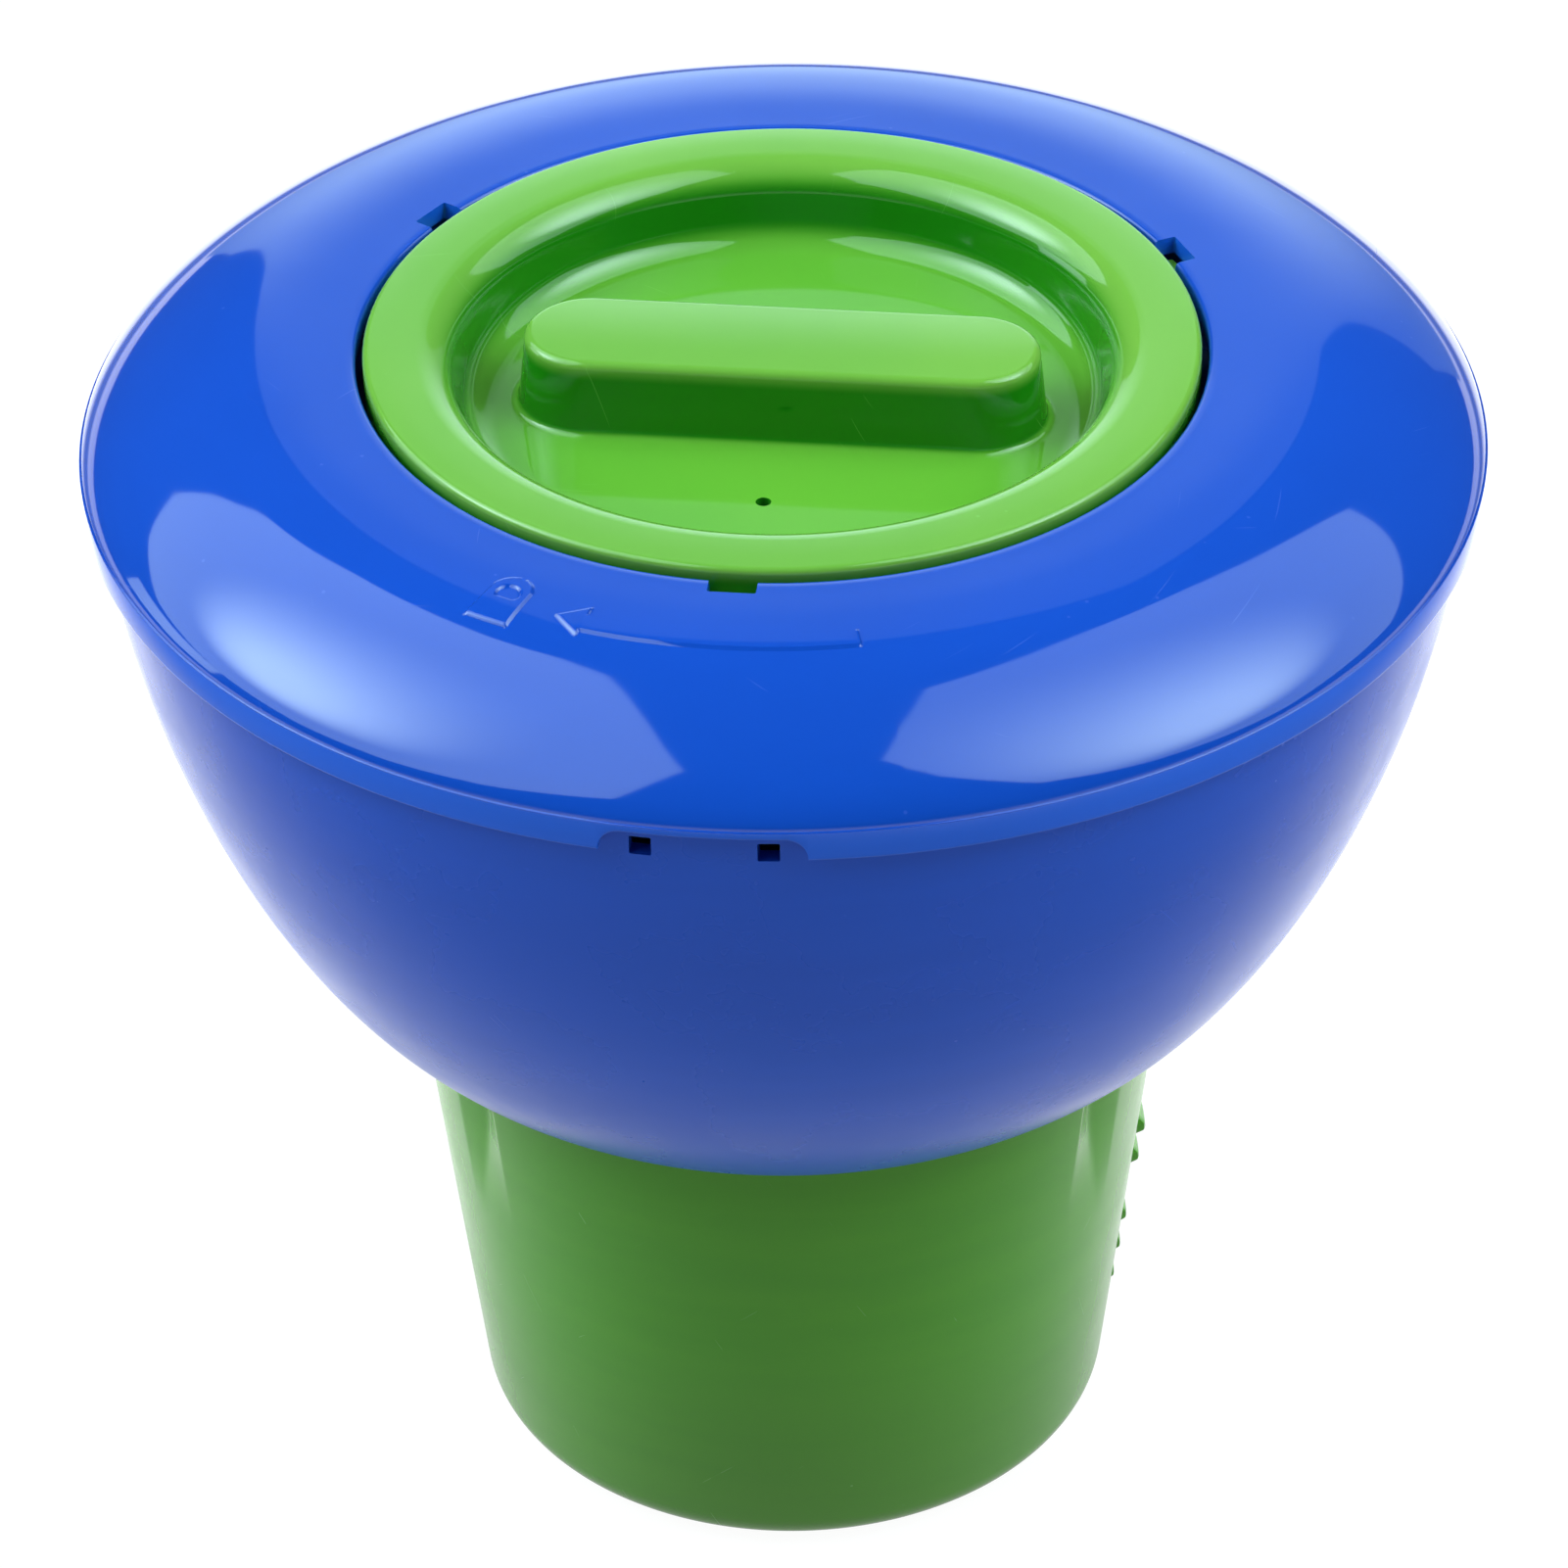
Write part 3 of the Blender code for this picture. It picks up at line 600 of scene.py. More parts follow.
def make_sleeve():
    """The tube between well and float chamber, with a seat for the lid seal on top."""
    foot = COLLAR_RADII[1] + 0.3
    shoulder_low, shoulder_high = SLEEVE_SHOULDER
    outline = rounded([
        (SLEEVE_BORE, SLEEVE_BOTTOM, 0.3), (SLEEVE_FLANGE, SLEEVE_BOTTOM, 0.3),
        (SLEEVE_FLANGE, SLEEVE_BOTTOM + 2.2, 0.3), (SLEEVE_OUTER, SLEEVE_BOTTOM + 2.2, 0.8),
        (SLEEVE_OUTER, shoulder_low, 0.8), (foot, shoulder_low, 0.3), (foot, shoulder_high, 0.3),
        (SLEEVE_CROWN, shoulder_high, 0.3), (SLEEVE_CROWN, SLEEVE_TOP, 0.5),
        (SLEEVE_SEAT_BORE, SLEEVE_TOP, 0.5), (SLEEVE_SEAT_BORE, SLEEVE_TOP - 3.0, 0.6),
        (SLEEVE_BORE, SLEEVE_TOP - 6.0, 0.6)])
    bm = bmesh.new()
    add_grid(bm, lambda _: outline, even(192))
    return to_object("sleeve_tube", bm)


def make_ring(name, inner, outer, low, high):
    """A moulded rubber ring with eased edges and a fine parting line round its outside."""
    ease = 0.45
    middle = (low + high) / 2.0
    outline = rounded([(inner, low, ease), (outer, low, ease), (outer, middle - 0.12, 0.0),
                       (outer + 0.06, middle, 0.0), (outer, middle + 0.12, 0.0), (outer, high, ease),
                       (inner, high, ease)], 3)
    bm = bmesh.new()
    add_grid(bm, lambda _: outline, even(180))
    return to_object(name, bm)


def make_foam():
    """The foam ring: its faces wander slightly, as cut and moulded bead foam does."""
    low, high = FOAM_HEIGHTS
    steps = 10
    heights = [low + (high - low) * k / steps for k in range(steps + 1)]
    side = [(bowl_radius(height) - BOWL_WALL - FOAM_GAP, height, 0.0) for height in heights]
    clear = 0.1
    corners = [(FOAM_BORE, low + clear, FOAM_EDGE), (side[0][0], low + clear, FOAM_EDGE)] + side[1:-1]
    corners += [(side[-1][0], high - clear, FOAM_EDGE), (FOAM_BORE, high - clear, FOAM_EDGE)]
    outline = rounded(corners)
    bore_side = 80.0

    def at(angle):
        slow = 0.12 * math.sin(math.radians(9.0 * angle))
        wander = slow + 0.08 * math.sin(math.radians(23.0 * angle + 40.0))
        return [(radius + (wander if radius < bore_side else 0.0), height) for radius, height in outline]

    bm = bmesh.new()
    add_grid(bm, at, even(240))
    return to_object("foam_ring", bm)


def make_cup():
    """The cup: a drafted body with raised front and back panels, the gate's track, vents and drains."""
    slope = math.degrees(DRAFT)
    top = CUP_FLANGE[1]

    centre = cup_radius(FOOT_FILLET) - FOOT_FILLET / math.cos(DRAFT)
    outer = arc((centre, FOOT_FILLET), FOOT_FILLET, -90.0, -slope, 12)
    inner_fillet = FOOT_FILLET - CUP_WALL
    inner_level = CUP_FLOOR + inner_fillet
    inner_centre = (cup_radius(inner_level) - CUP_WALL - inner_fillet, inner_level)
    inner = arc(inner_centre, inner_fillet, -slope, -90.0, 8)
    plain_heights = [8.0 * k for k in range(1, 6)]
    panel_heights = [PANEL_START - 1.0 + 1.5 * k for k in range(31)]
    wall = [(cup_radius(height), height) for height in plain_heights + panel_heights]
    underside = CUP_FLANGE[0]
    corners = [(0.0, 0.0, 0.0), (20.0, 0.0, 0.0)]
    corners += [(radius, height, 0.0) for radius, height in outer + wall]
    corners += [(cup_radius(underside), underside, 0.6), (CUP_FLANGE_RADIUS, underside, 0.4),
                (CUP_FLANGE_RADIUS, top, 0.4), (cup_radius(top) - CUP_WALL, top, 0.5)]
    corners += [(radius, height, 0.0) for radius, height in inner] + [(0.0, CUP_FLOOR, 0.0)]
    outline = rounded(corners)

    panel_middles = (FRONT + CUP_TURN, FRONT + CUP_TURN + 180.0)

    def panel_rise(angle, height):
        off = min(abs((angle - middle + 180.0) % 360.0 - 180.0) for middle in panel_middles)
        share = ramp((height - PANEL_START) / (PANEL_FULL - PANEL_START), *PANEL_EASES)
        valley, end = FLUTE_ANGLES
        valley += FLUTE_LEAN * (end - valley) * (1.0 - share)
        if off < valley:
            inward = ramp((valley - off) / (valley - PANEL_HALF_ANGLE), *FLUTE_EASES)
            return share * ((PANEL_RISE + FLUTE_DEPTH) * inward - FLUTE_DEPTH)
        return -share * FLUTE_DEPTH * (1.0 - ramp((off - valley) / (end - valley), *FLUTE_EASES))

    def at(angle):
        column = []
        for radius, height in outline:
            on_wall = PANEL_START < height < PANEL_END and abs(radius - cup_radius(height)) < 0.2
            column.append((radius + (panel_rise(angle, height) if on_wall else 0.0), height))
        return column

    angles = even(360)
    crease = PANEL_HALF_ANGLE - 0.9
    for middle in panel_middles:
        for side in (-1.0, 1.0):
            angles += [(middle + side * (crease + 0.2 * k)) % 360.0 for k in range(72)]
    bm = bmesh.new()
    add_grid(bm, at, sorted(angles))
    cup = to_object("cup_body", bm)

    lip, mouth, floor = TRACK_DEPTHS
    low, high = TRACK_ENDS
    pad = bmesh.new()
    add_wedge(pad, lambda _: cone_band(PAD_DEPTH, 0.9, 5.0, 86.0), GATE_ANGLE, PAD_HALF_ANGLE, 18)
    groove = bmesh.new()
    add_wedge(groove, lambda _: cone_band(floor, lip, low, high), GATE_ANGLE, TRACK_HALF_ANGLES[1], 16)
    slot = bmesh.new()
    clear = 0.2
    opening = cone_band(mouth, -4.0, low + clear, high - clear)
    add_wedge(slot, lambda _: opening, GATE_ANGLE, TRACK_HALF_ANGLES[0], 16)
    vents = bmesh.new()
    for row in range(VENT_COUNT):
        base = GATE_BOTTOM + 3.0 + RIDGE_PITCH * row
        section = rounded([(radius, height, 0.5) for radius, height in
                           cone_band(PAD_DEPTH + 2.0, mouth - 0.4, base, base + VENT_HEIGHT)], 2)
        add_wedge(vents, lambda _, section=section: section, GATE_ANGLE, VENT_HALF_ANGLE, 8)
    drains = bmesh.new()
    slit = [(x + DRAIN_RADIUS, y) for x, y in stadium(DRAIN_LENGTH, DRAIN_WIDTH, 32)]
    for angle in even(DRAIN_COUNT, CUP_TURN):
        add_prism(drains, slit, -1.0, CUP_FLOOR + 1.0, Matrix.Rotation(math.radians(angle), 4, 'Z'))
    return carve(cup, [('UNION', pad), ('DIFFERENCE', groove), ('DIFFERENCE', slot), ('DIFFERENCE', vents),
                       ('DIFFERENCE', drains)])


def make_gate():
    """The gate: a T-section plate with rounded thumb ridges."""
    face, tongue, back = GATE_DEPTHS
    steps = 16
    loops = []
    chamfer = 0.25
    for height, ease in ((GATE_BOTTOM, chamfer), (GATE_BOTTOM + chamfer, 0.0), (GATE_TOP - chamfer, 0.0),
                         (GATE_TOP, chamfer)):
        surface = cup_radius(height)
        loop = [(surface - back + ease, -GATE_TONGUE_ANGLE), (surface - tongue - ease, -GATE_TONGUE_ANGLE),
                (surface - tongue - ease, -GATE_HALF_ANGLE)]
        loop += [(surface - face - ease, GATE_HALF_ANGLE * (2.0 * k / steps - 1.0))
                 for k in range(steps + 1)]
        loop += [(surface - tongue - ease, GATE_HALF_ANGLE), (surface - tongue - ease, GATE_TONGUE_ANGLE)]
        loop += [(surface - back + ease, GATE_TONGUE_ANGLE * (1.0 - 2.0 * k / steps)) for k in range(steps)]
        loops.append([polar(radius, GATE_ANGLE + angle, height) for radius, angle in loop])
    bm = bmesh.new()
    add_loops(bm, loops)
    gate = to_object("gate_plate", bm)

    ridges = bmesh.new()
    for row in RIDGE_ROWS:
        peak = RIDGE_TOP_PEAK - RIDGE_PITCH * row
        rise = RIDGE_RISE[0] + (RIDGE_RISE[1] - RIDGE_RISE[0]) * row / RIDGE_ROWS[-1]
        surface = cup_radius(peak)

        def section_at(angle, peak=peak, rise=rise, surface=surface):
            ends = smooth_step((RIDGE_HALF_ANGLE - abs(angle - GATE_ANGLE)) / RIDGE_END)
            tall = 0.12 - face + (rise + face - 0.1) * ends
            root = surface - RIDGE_ROOT
            top = peak + RIDGE_SLOPE
            foot = peak - RIDGE_FOOT
            return rounded([(root, top, 0.0), (surface - face, top, 0.0),
                            (surface + tall * 0.95, peak + 0.7, 0.5), (surface + tall, peak - 0.5, 0.5),
                            (surface - face + 0.1, foot, 0.3), (root, foot, 0.0)], 3)

        add_wedge(ridges, section_at, GATE_ANGLE, RIDGE_HALF_ANGLE, 24)
    return carve(gate, [('UNION', ridges)])


def make_lid():
    """The lid: one skin from the top of the grip bar out over the flange, and back beneath into the bar."""
    count = 288
    bar_height = LID_TOP - RECESS_FLOOR
    under = RECESS_FLOOR - LID_WALL
    quarter = [math.radians(15.0 * k) for k in range(7)]

    def ring(radius, height):
        return [polar(radius, angle, height) for angle in even(count)]

    def bar_ring(grow, height):
        outline = stadium(BAR_LENGTH + 2.0 * grow, BAR_WIDTH + 2.0 * grow, count)
        return [Vector((x, y, height)) * MM for x, y in outline]

    def between(first, last, share):
        return [a.lerp(b, share) for a, b in zip(first, last)]

    top_grow = BAR_DRAFT * 0.06 - BAR_EDGE
    loops = [bar_ring(top_grow + BAR_EDGE * math.sin(a), LID_TOP - BAR_EDGE * (1.0 - math.cos(a)))
             for a in quarter]
    side_height = bar_height - BAR_EDGE - BAR_FOOT
    loops += [bar_ring(BAR_DRAFT * k / 6.0, LID_TOP - BAR_EDGE - side_height * k / 6.0) for k in range(1, 6)]
    foot_grow = BAR_DRAFT + BAR_FOOT
    loops += [bar_ring(foot_grow - BAR_FOOT * math.cos(a), RECESS_FLOOR + BAR_FOOT * (1.0 - math.sin(a)))
              for a in quarter]
    bar_foot = loops[-1]
    floor_edge = ring(RECESS_FLOOR_EDGE, RECESS_FLOOR)
    loops += [between(bar_foot, floor_edge, k / 8.0) for k in range(1, 8)]

    profile = arc((RECESS_FLOOR_EDGE, RECESS_FLOOR + FLOOR_FILLET), FLOOR_FILLET, -90.0, -RECESS_DRAFT, 12)
    mouth = arc((MOUTH_EDGE, LID_TOP - MOUTH_FILLET), MOUTH_FILLET, 180.0 - RECESS_DRAFT, 90.0, 14)
    foot_of_wall = Vector(profile[-1])
    head_of_wall = Vector(mouth[0])
    profile += [tuple(foot_of_wall.lerp(head_of_wall, share)) for share in (0.25, 0.5, 0.75)]
    profile += mouth + [(55.0, LID_TOP)]
    rim = rounded([(50.0, LID_TOP, 0.0), (LID_RADIUS, LID_TOP, 0.9), (LID_RADIUS, LID_SKIRT_BOTTOM, 0.4),
                   (LID_SKIRT_BORE, LID_SKIRT_BOTTOM, 0.4), (LID_SKIRT_BORE, LID_TOP - LID_WALL, 0.8),
                   *LID_UNDERSIDE, (42.0, under, 1.5), (0.0, under, 0.0)], 6)
    profile += rim[1:-1]
    loops += [ring(radius, height) for radius, height in profile]
    hollow_mouth = bar_ring(BAR_DRAFT - BAR_WALL + 0.5, under)
    last = ring(profile[-1][0], under)
    loops += [between(last, hollow_mouth, k / 6.0) for k in range(1, 7)]
    loops.append(bar_ring(BAR_DRAFT - BAR_WALL, under + 0.5))
    loops.append(bar_ring(-BAR_WALL, LID_TOP - BAR_WALL - 0.6))
    loops.append(bar_ring(-BAR_WALL - 0.6, LID_TOP - BAR_WALL))
    bm = bmesh.new()
    add_loops(bm, loops)
    cap = to_object("lid_cap", bm)

    lugs = bmesh.new()
    half = LUG_WIDTH / 2.0
    tab = rounded([(LID_RADIUS - 1.2, -half, 0.0), (LUG_RADIUS, -half, 0.5), (LUG_RADIUS, half, 0.5),
                   (LID_RADIUS - 1.2, half, 0.0)])
    for angle in BAYONET_ANGLES:
        add_prism(lugs, tab, LUG_BOTTOM, LUG_TOP, Matrix.Rotation(math.radians(angle), 4, 'Z'))
    pinhole = bmesh.new()
    circle = arc((0.0, 0.0), PINHOLE_RADIUS, 0.0, 360.0, 24)[:-1]
    drop = Matrix.Translation(Vector((0.0, -PINHOLE_OFFSET, 0.0)) * MM)
    add_prism(pinhole, circle, under - 1.0, RECESS_FLOOR + 1.0, drop)
    return carve(cap, [('UNION', lugs), ('DIFFERENCE', pinhole)])


# ---------------------------------------------------------------- materials

class Graph:
    """A small helper that wires the nodes of a material or a world."""

    def __init__(self, tree):
        self.nodes = tree.nodes
        self.links = tree.links

    def feed(self, socket, value):
        """Link a socket to another node's output, or set it to a plain value."""
        if isinstance(value, bpy.types.NodeSocket):
            self.links.new(value, socket)
        else:
            socket.default_value = value

    def node(self, kind, **inputs):
        """A new node with its named inputs fed, where an underscore stands for a space."""
        node = self.nodes.new("ShaderNode" + kind)
        for name, value in inputs.items():
            self.feed(node.inputs[name.replace("_", " ")], value)
        return node

    def remap(self, value, low, high, to_low, to_high):
        """An eased step from one level to another as the value crosses a range."""
        node = self.node("MapRange", Value=value, From_Min=low, From_Max=high, To_Min=to_low, To_Max=to_high)
        node.interpolation_type = 'SMOOTHSTEP'
        return node.outputs["Result"]

    def math(self, operation, first, second=0.0):
        """The result of a Math node."""
        node = self.node("Math")
        node.operation = operation
        self.feed(node.inputs[0], first)
        self.feed(node.inputs[1], second)
        return node.outputs["Value"]

    def vector(self, operation, first, second=(0.0, 0.0, 0.0), output="Vector"):
        """The result of a Vector Math node."""
        node = self.node("VectorMath")
        node.operation = operation
        self.feed(node.inputs[0], first)
        self.feed(node.inputs[1], second)
        return node.outputs[output]

    def axes(self, vector):
        """The X, Y and Z parts of a vector."""
        return self.node("SeparateXYZ", Vector=vector).outputs

    def by_camera(self, level, seen):
        """A level that only the camera sees as another one."""
        node = self.node("Mix")
        node.data_type = 'FLOAT'
        self.feed(node.inputs[0], self.node("LightPath").outputs["Is Camera Ray"])
        self.feed(node.inputs[2], level)
        self.feed(node.inputs[3], seen)
        return node.outputs[0]


class Shader(Graph):
    """One procedural material on a Principled surface."""

    def __init__(self, name):
        self.material = bpy.data.materials.new(name)
        self.material.use_nodes = True
        super().__init__(self.material.node_tree)
        self.surface = self.nodes["Principled BSDF"]
        self.space = self.node("TexCoord").outputs["Object"]

    def mapped(self, scale, turn=(0.0, 0.0, 0.0), vector=None):
        """The place on the piece, scaled and turned."""
        return self.node("Mapping", Scale=scale, Rotation=turn, Vector=vector or self.space).outputs["Vector"]

    def noise(self, scale, detail=2.0, vector=None, rough=0.5):
        """A soft noise, its scale per metre."""
        return self.node("TexNoise", Scale=scale, Detail=detail, Roughness=rough,
                         Vector=vector or self.space).outputs["Fac"]

    def cells(self, scale):
        """The distance to the heart of the nearest cell."""
        return self.node("TexVoronoi", Scale=scale, Vector=self.space).outputs["Distance"]

    def mix(self, share, first, second):
        """A colour between two others."""
        node = self.node("Mix")
        node.data_type = 'RGBA'
        for number, value in ((0, share), (6, first), (7, second)):
            self.feed(node.inputs[number], value)
        return node.outputs[2]

    def bump(self, height, distance, strength, under=None):
        """A normal that a height tilts, over the normal from under it."""
        node = self.node("Bump", Distance=distance, Strength=strength, Height=height)
        if under is not None:
            self.feed(node.inputs["Normal"], under)
        return node.outputs["Normal"]

    def wrapped(self):
        """The place on a turned piece: its run round the axis, and its run out and up along the skin."""
        x, y, z = self.axes(self.space)
        radius = self.math('SQRT', self.math('ADD', self.math('MULTIPLY', x, x), self.math('MULTIPLY', y, y)))
        run = self.math('MULTIPLY', self.math('ARCTAN2', y, x), WRAP_RADIUS * MM)
        return self.node("CombineXYZ", X=run, Y=self.math('SUBTRACT', radius, z)).outputs["Vector"]

    def scratches(self):
        """Sparse hairlines in two directions, as handling leaves them."""
        place = self.wrapped()
        lines = []
        for turn, scale in ((0.45, (40.0, 2600.0, 1.0)), (-0.8, (55.0, 2300.0, 1.0))):
            turned = self.mapped((1.0, 1.0, 1.0), (0.0, 0.0, turn), place)
            streak = self.noise(1.0, 0.0, self.mapped(scale, (0.0, 0.0, 0.0), turned))
            patch = self.noise(23.0 + scale[0], 1.0, place)
            line = self.remap(streak, 0.80, 0.84, 0.0, 1.0)
            lines.append(self.math('MULTIPLY', line, self.remap(patch, 0.58, 0.66, 0.0, 1.0)))
        return self.math('MAXIMUM', lines[0], lines[1])


def plastic(name, colour, roughness, grain=0.0, speck=0.5, painted_height_light_shade=None, painted_wall_light_shade=None):
    """Injection-moulded plastic: slow tint drift, faint flow lines, skin texture, hairlines and specks.

    The height colour, as (low, high, colour), eases the tint to another between two heights: painted light
    and shade by height.
    The wall colour, as (low, high, colour), gives the steep sides another colour between two upward parts of
    the normal: painted light and shade on walls. Scales are per metre.
    """
    shader = Shader(name)
    drift = shader.noise(14.0, 2.0)
    flow = shader.noise(3.0, 3.0, shader.mapped((8.0, 8.0, 60.0), (0.1, 0.15, 0.0)))
    tint = shader.math('ADD', shader.math('MULTIPLY', drift, 0.6), shader.math('MULTIPLY', flow, 0.4))
    share = shader.remap(tint, 0.36, 0.64, 0.0, 1.0)

    def drifting(light):
        deep = tuple(channel * fade for channel, fade in zip(light, TINT_DRIFT)) + (1.0,)
        return shader.mix(share, deep, tuple(light) + (1.0,))

    base = drifting(colour)
    # Painted light and shade on walls: the steep sides take the given colour in place of the plastic's own,
    # for how light falls on them
    if painted_wall_light_shade:
        low, high, steep = painted_wall_light_shade
        upright = shader.axes(shader.node("NewGeometry").outputs["Normal"])["Z"]
        base = shader.mix(shader.remap(upright, low, high, 0.0, 1.0), drifting(steep), base)
    # Painted light and shade by height: the tint eases to the given colour between two heights, standing in
    # for how light falls from top to bottom
    if painted_height_light_shade:
        low, high, pale = painted_height_light_shade
        level = shader.axes(shader.space)["Z"]
        base = shader.mix(shader.remap(level, low * MM, high * MM, 0.0, 1.0), base, drifting(pale))

    # Specks sit at the hearts of a few cells, and both they and the hairlines are paler, rougher and raised
    dot = shader.math('MULTIPLY', shader.remap(shader.cells(260.0), 0.05, 0.09, 1.0, 0.0),
                      shader.remap(shader.noise(60.0, 0.0), 0.66, 0.68, 0.0, speck))
    marks = shader.math('MAXIMUM', shader.math('MULTIPLY', shader.scratches(), 0.5), dot)
    scuffed = tuple(min(1.0, channel * 1.25 + 0.06) for channel in colour) + (1.0,)
    skin = shader.mix(shader.math('MULTIPLY', marks, 0.55), base, scuffed)
    shader.feed(shader.surface.inputs["Base Color"], skin)
    handled = shader.remap(shader.noise(38.0, 4.0, None, 0.6), 0.35, 0.7, roughness * 0.86, roughness * 1.14)
    scuffs = shader.math('MULTIPLY', marks, 0.18)
    shader.feed(shader.surface.inputs["Roughness"], shader.math('ADD', handled, scuffs))

    # The skin: slow sink marks, the mould's grain, then the marks
    normal = shader.bump(shader.noise(55.0, 1.0), 0.00012, 0.35)
    if grain:
        normal = shader.bump(shader.noise(650.0, 1.0), 0.000012, grain, normal)
    shader.feed(shader.surface.inputs["Normal"], shader.bump(marks, 0.00003, 0.25, normal))
    for key, value in (("IOR", 1.5), ("Subsurface Weight", 0.08), ("Subsurface Radius", (0.6, 1.0, 1.0)),
                       ("Subsurface Scale", 0.0015)):
        shader.surface.inputs[key].default_value = value
    return shader.material


def rubber(name):
    """Matt black moulded rubber with bloom and a fine tooth."""
    shader = Shader(name)
    bloom = shader.noise(70.0, 4.0, None, 0.6)
    bloomed = shader.remap(bloom, 0.4, 0.7, 0.0, 1.0)
    base = shader.mix(bloomed, (0.018, 0.018, 0.019, 1.0), (0.055, 0.055, 0.058, 1.0))
    shader.feed(shader.surface.inputs["Base Color"], base)
    shader.feed(shader.surface.inputs["Roughness"], shader.remap(bloom, 0.3, 0.7, 0.55, 0.8))
    shader.feed(shader.surface.inputs["Normal"], shader.bump(shader.noise(1800.0, 3.0), 0.00005, 0.6))
    return shader.material


def foam(name):
    """White expanded bead foam: packed cells with darker seams."""
    shader = Shader(name)
    beads = shader.cells(330.0)
    seam = shader.remap(beads, 0.25, 0.75, 0.0, 1.0)
    base = shader.mix(seam, (0.86, 0.86, 0.84, 1.0), (0.62, 0.62, 0.60, 1.0))
    shader.feed(shader.surface.inputs["Base Color"], base)
    dust = shader.noise(90.0, 2.0)
    shader.feed(shader.surface.inputs["Roughness"], shader.remap(dust, 0.3, 0.7, 0.8, 0.95))
    height = shader.math('SUBTRACT', 1.0, beads)
    shader.feed(shader.surface.inputs["Normal"], shader.bump(height, 0.0006, 0.8))
    shader.surface.inputs["Subsurface Weight"].default_value = 0.2
    shader.surface.inputs["Subsurface Scale"].default_value = 0.002
    return shader.material


# ---------------------------------------------------------------- studio

def falloff(graph, centre, near, far, squash=(1.0, 1.0, 1.0)):
    """A level that eases from a centre outwards: near and far are (distance, level).

    The squash scales the distance along each axis.
    """
    place = graph.node("NewGeometry").outputs["Position"]
    offset = graph.vector('SUBTRACT', place, RIG_TURN @ Vector(centre))
    apart = graph.vector('LENGTH', graph.vector('MULTIPLY', offset, squash), output="Value")
    return graph.remap(apart, near[0], far[0], near[1], far[1])


def stage_mesh(name, bm, material):
    """Put a mesh of the studio in the scene."""
    mesh = bpy.data.meshes.new(name)
    bm.to_mesh(mesh)
    bm.free()
    mesh.materials.append(material)
    piece = bpy.data.objects.new(name, mesh)
    bpy.context.scene.collection.objects.link(piece)
    return piece


def bare_material(name):
    """A material and the graph of its nodes, with none in it yet."""
    material = bpy.data.materials.new(name)
    material.use_nodes = True
    graph = Graph(material.node_tree)
    graph.nodes.clear()
    return material, graph


def glow_sheet(name, corners, centre, near, far, squash=(1.0, 1.0, 1.0)):
    """A flat glowing sheet of the studio, brightest at its centre and unseen by the camera."""
    material, graph = bare_material(name)
    glow = graph.node("Emission", Strength=falloff(graph, centre, near, far, squash), Color=LAMP_TINT)
    graph.node("OutputMaterial", Surface=glow.outputs["Emission"])
    bm = bmesh.new()
    bm.faces.new([bm.verts.new(RIG_TURN @ Vector(corner)) for corner in corners])
    sheet = stage_mesh(name, bm, material)
    sheet.visible_camera = False
    sheet.visible_shadow = False


def make_lamps():
    """Two soft boxes overhead, a side panel far left, and a lit panel behind."""
    lift = BOX_HEIGHT - CREST_HEIGHT * MM
    oval = (0.7, 1.0, 1.0)
    for name, plan, middle, near, far in (
            ("softbox_left", LEFT_BOX_PLAN, (-1.4, 0.1), (0.1, 11.4), (0.75, 2.8)),
            ("softbox_right", RIGHT_BOX_PLAN, (1.2, -0.25), (0.1, 8.8), (0.8, 2.1))):
        corners = [(x * lift, y * lift, BOX_HEIGHT) for x, y in plan]
        centre = (middle[0] * lift, middle[1] * lift, BOX_HEIGHT)
        near = (near[0] * lift, near[1])
        far = (far[0] * lift, far[1])
        glow_sheet(name, corners, centre, near, far, oval)
    front, back = SIDE_PANEL_DEPTHS
    low, high = SIDE_PANEL_HEIGHTS
    side = [(SIDE_PANEL_X, y, z) for y, z in ((front, low), (back, low), (back, high), (front, high))]
    glow_sheet("side_panel", side, centre=(SIDE_PANEL_X, 1.0, 1.4), near=(0.3, 3.6), far=(2.2, 2.2))
    behind = [(x, BACK_PANEL_Y, z) for x, z in BACK_PANEL]
    glow_sheet("back_panel", behind, centre=(0.05, BACK_PANEL_Y, 0.65), near=(0.3, 2.1), far=(1.15, 0.44))


def make_room():
    """A dim room, a little lighter behind, with a low pale band far in front. The camera sees it white."""
    world = bpy.data.worlds.new("studio")
    bpy.context.scene.world = world
    world.use_nodes = True
    graph = Graph(world.node_tree)
    graph.nodes.clear()
    direction = graph.node("TexCoord").outputs["Generated"]
    turned = graph.node("VectorRotate", Vector=direction, Axis=(0.0, 0.0, 1.0), Angle=-RIG_ANGLE)
    _, depth, height = graph.axes(turned.outputs["Vector"])
    band = graph.math('MULTIPLY', graph.remap(depth, -0.95, -0.4, 1.0, 0.0),
                      graph.remap(height, 0.04, 0.24, 1.25, 0.0))
    room = graph.math('ADD', graph.remap(depth, -0.6, 0.2, 0.02, 0.07), band)
    sky = graph.node("Background", Strength=graph.by_camera(room, ROOM_SEEN), Color=(1.0, 1.0, 1.0, 1.0))
    graph.node("OutputWorld", Surface=sky.outputs["Background"])


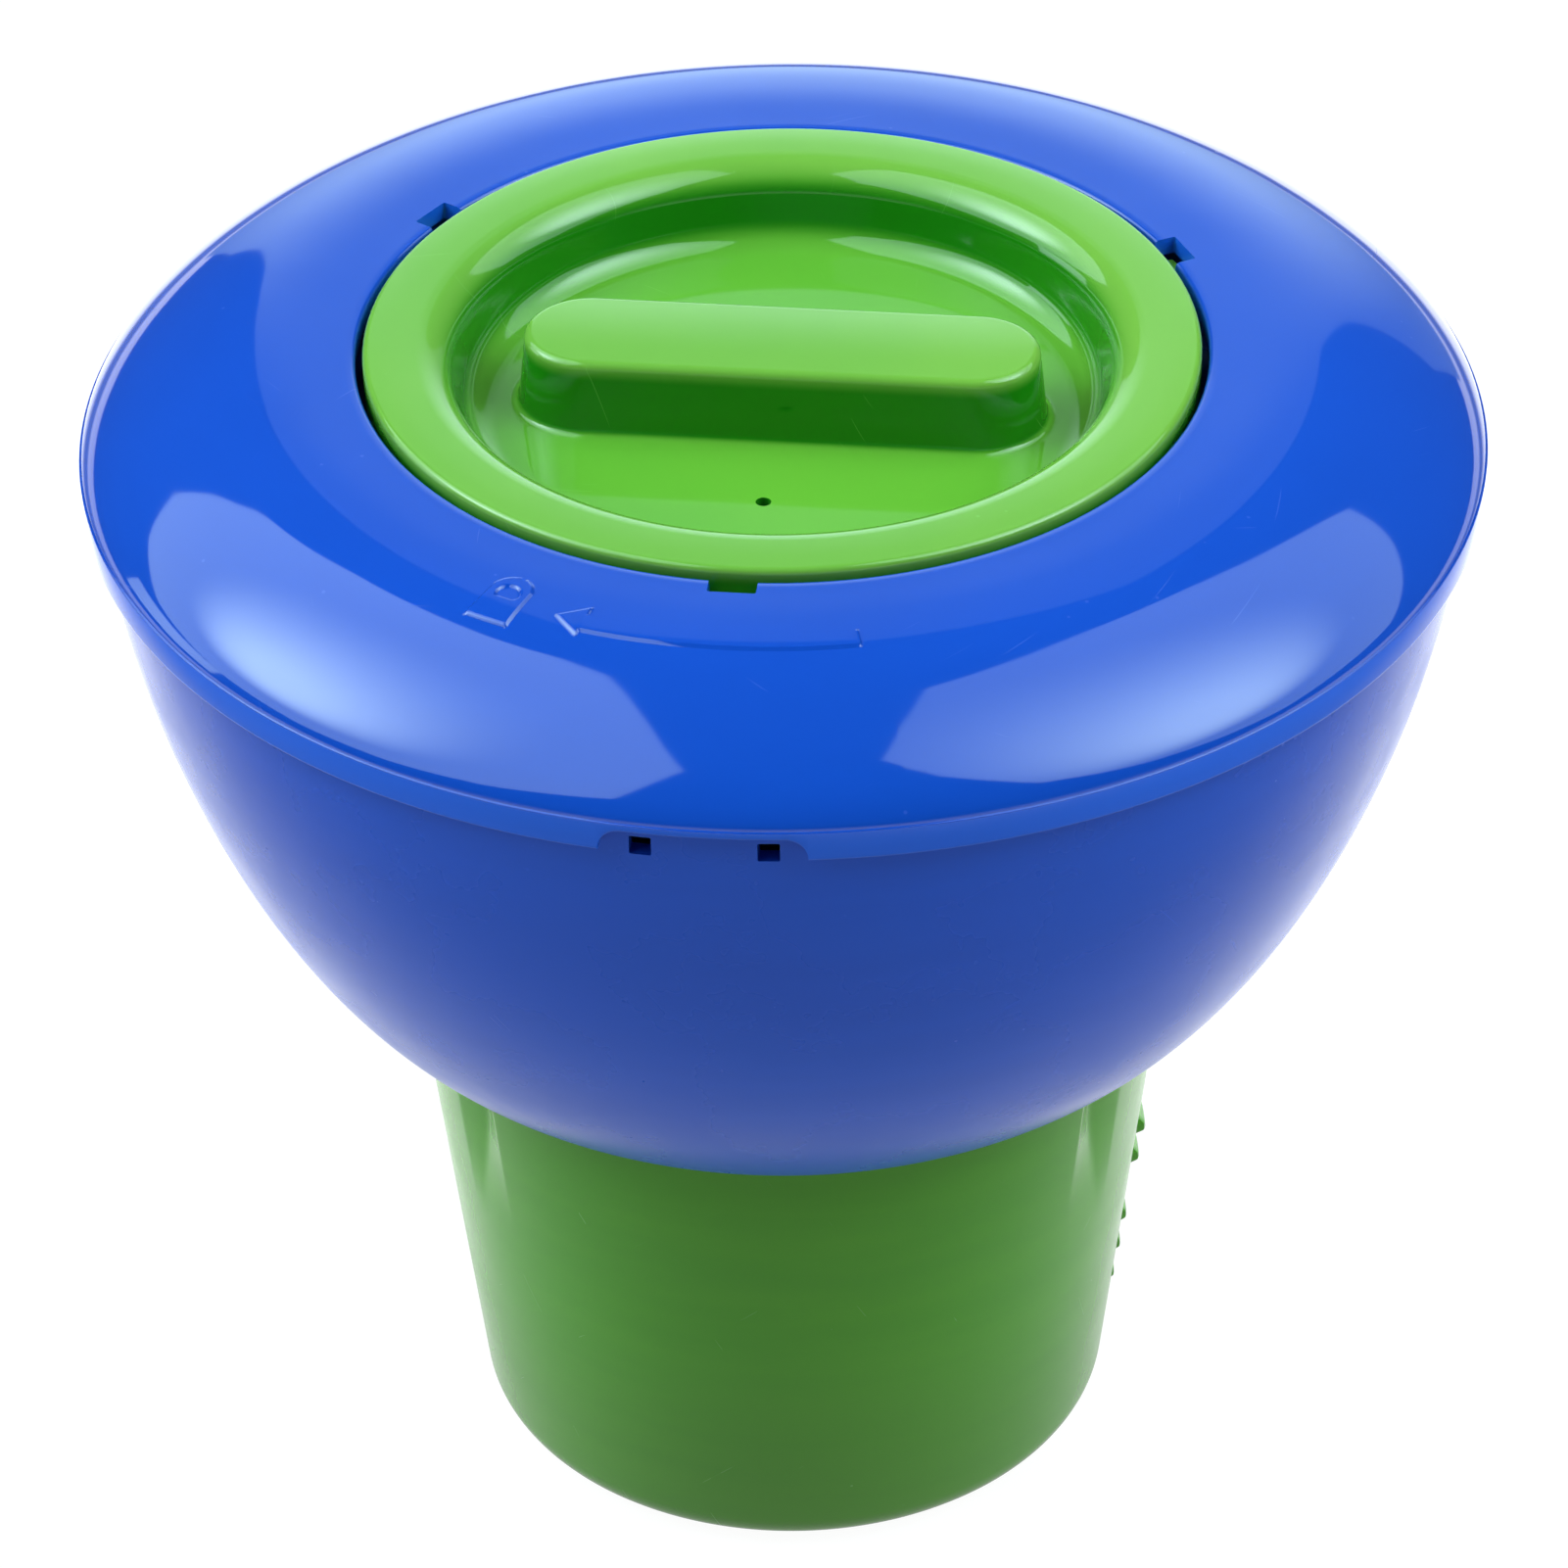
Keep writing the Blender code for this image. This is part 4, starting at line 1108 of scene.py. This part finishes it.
def make_floor():
    """The pale floor: a bright pool behind the object, bright edges far off, and clear from below."""
    material, graph = bare_material("studio_floor")
    pool = falloff(graph, (0.04, 0.66, 0.0), near=(0.47, 2.1), far=(0.80, 0.24), squash=(1.4, 1.0, 1.0))
    edge = falloff(graph, (0.0, 0.9, 0.0), near=(1.2, 0.0), far=(1.7, 1.3), squash=(1.6, 1.0, 1.0))
    glow = graph.node("Emission", Strength=graph.by_camera(graph.math('ADD', pool, edge), FLOOR_SEEN))
    paint = graph.node("BsdfDiffuse", Color=FLOOR_PAINT)
    both = graph.node("AddShader")
    one_sided = graph.node("MixShader")
    graph.feed(both.inputs[0], glow.outputs["Emission"])
    graph.feed(both.inputs[1], paint.outputs["BSDF"])
    graph.feed(one_sided.inputs[0], graph.node("NewGeometry").outputs["Backfacing"])
    graph.feed(one_sided.inputs[1], both.outputs["Shader"])
    graph.feed(one_sided.inputs[2], graph.node("BsdfTransparent").outputs["BSDF"])
    graph.node("OutputMaterial", Surface=one_sided.outputs["Shader"])
    bm = bmesh.new()
    bmesh.ops.create_grid(bm, x_segments=1, y_segments=1, size=FLOOR_HALF)
    stage_mesh("floor", bm, material).location.z = -FLOOR_DROP


def make_camera():
    """The camera, where the object is seen from above and in front."""
    camera = bpy.data.objects.new("camera", bpy.data.cameras.new("camera"))
    camera.data.sensor_width = CAMERA_SENSOR
    camera.data.lens = CAMERA_LENS
    camera.data.clip_start = 0.05
    right = Vector(CAMERA_RIGHT)
    up = Vector(CAMERA_UP)
    look = Matrix((right, up, right.cross(up))).transposed().to_4x4()
    camera.matrix_world = RIG_TURN @ Matrix.Translation(Vector(CAMERA_PLACE)) @ look
    bpy.context.scene.collection.objects.link(camera)
    bpy.context.scene.camera = camera


# ---------------------------------------------------------------- assembly

view = bpy.context.scene.view_settings
view.view_transform = 'Standard'
view.look = 'None'
make_camera()
make_room()
make_lamps()
make_floor()

# The wall and height colours given below are painted light and shade: the cover's steep skirt is lighter, the
# lid's walls are darker and its top lighter, the bowl is darker towards its top under the cover's skirt, and
# the cup is darker towards its foot
cover_blue = plastic("cover_plastic", (0.0045, 0.052, 0.375), roughness=0.055,
                     painted_wall_light_shade=(0.02, 0.30, (0.0086, 0.093, 0.577)))
bowl_blue = plastic("bowl_plastic", (0.006, 0.102, 0.700), roughness=0.28, grain=0.2, speck=0.15,
                    painted_height_light_shade=(92.0, 150.0, (0.0054, 0.0684, 0.4845)))
lid_green = plastic("lid_plastic", (0.102, 0.312, 0.025), roughness=0.065,
                    painted_height_light_shade=(180.5, 182.9, (0.140, 0.323, 0.039)), painted_wall_light_shade=(0.30, 0.85, (0.0107, 0.171, 0.0041)))
cup_green = plastic("cup_plastic", (0.058, 0.236, 0.0072), roughness=0.24, grain=0.2, speck=0.15,
                    painted_height_light_shade=(2.0, 46.0, (0.072, 0.304, 0.0092)))
seal_black = rubber("seal_rubber_black")
foam_white = foam("bead_foam")

finish_piece(make_cover(), "float_cover", "float", cover_blue)
finish_piece(make_bowl(), "float_bowl", "float", bowl_blue)
finish_piece(make_sleeve(), "inner_sleeve", "float", bowl_blue)
finish_piece(make_foam(), "buoyancy_foam", "float", foam_white)
finish_piece(make_cup(), "tablet_cup", "float", cup_green)
finish_piece(make_gate(), "vent_gate", "gate", cup_green)
finish_piece(make_lid(), "lid", "lid_turn", lid_green)

# Name, CAD node, body, inner radius, outer radius, underside and top of each rubber ring
RINGS = (("rim_seal", "rim_gasket", "float", 94.45, 97.1, 166.65, 168.65),
         ("collar_seal", "collar_gasket", "float", 65.25, 66.8, 166.85, 168.35),
         ("neck_seal", "neck_gasket", "float", 60.45, 64.5, 90.35, 92.05),
         ("cup_seal", "cup_gasket", "float", 60.45, 64.5, 95.15, 96.45),
         ("lid_ring", "lid_seal", "lid_carrier", 57.05, 59.1, 171.75, 173.95))
for name, node, body, inner, outer, low, high in RINGS:
    finish_piece(make_ring(name, inner, outer, low, high), node, body, seal_black)

bpy.context.view_layer.update()
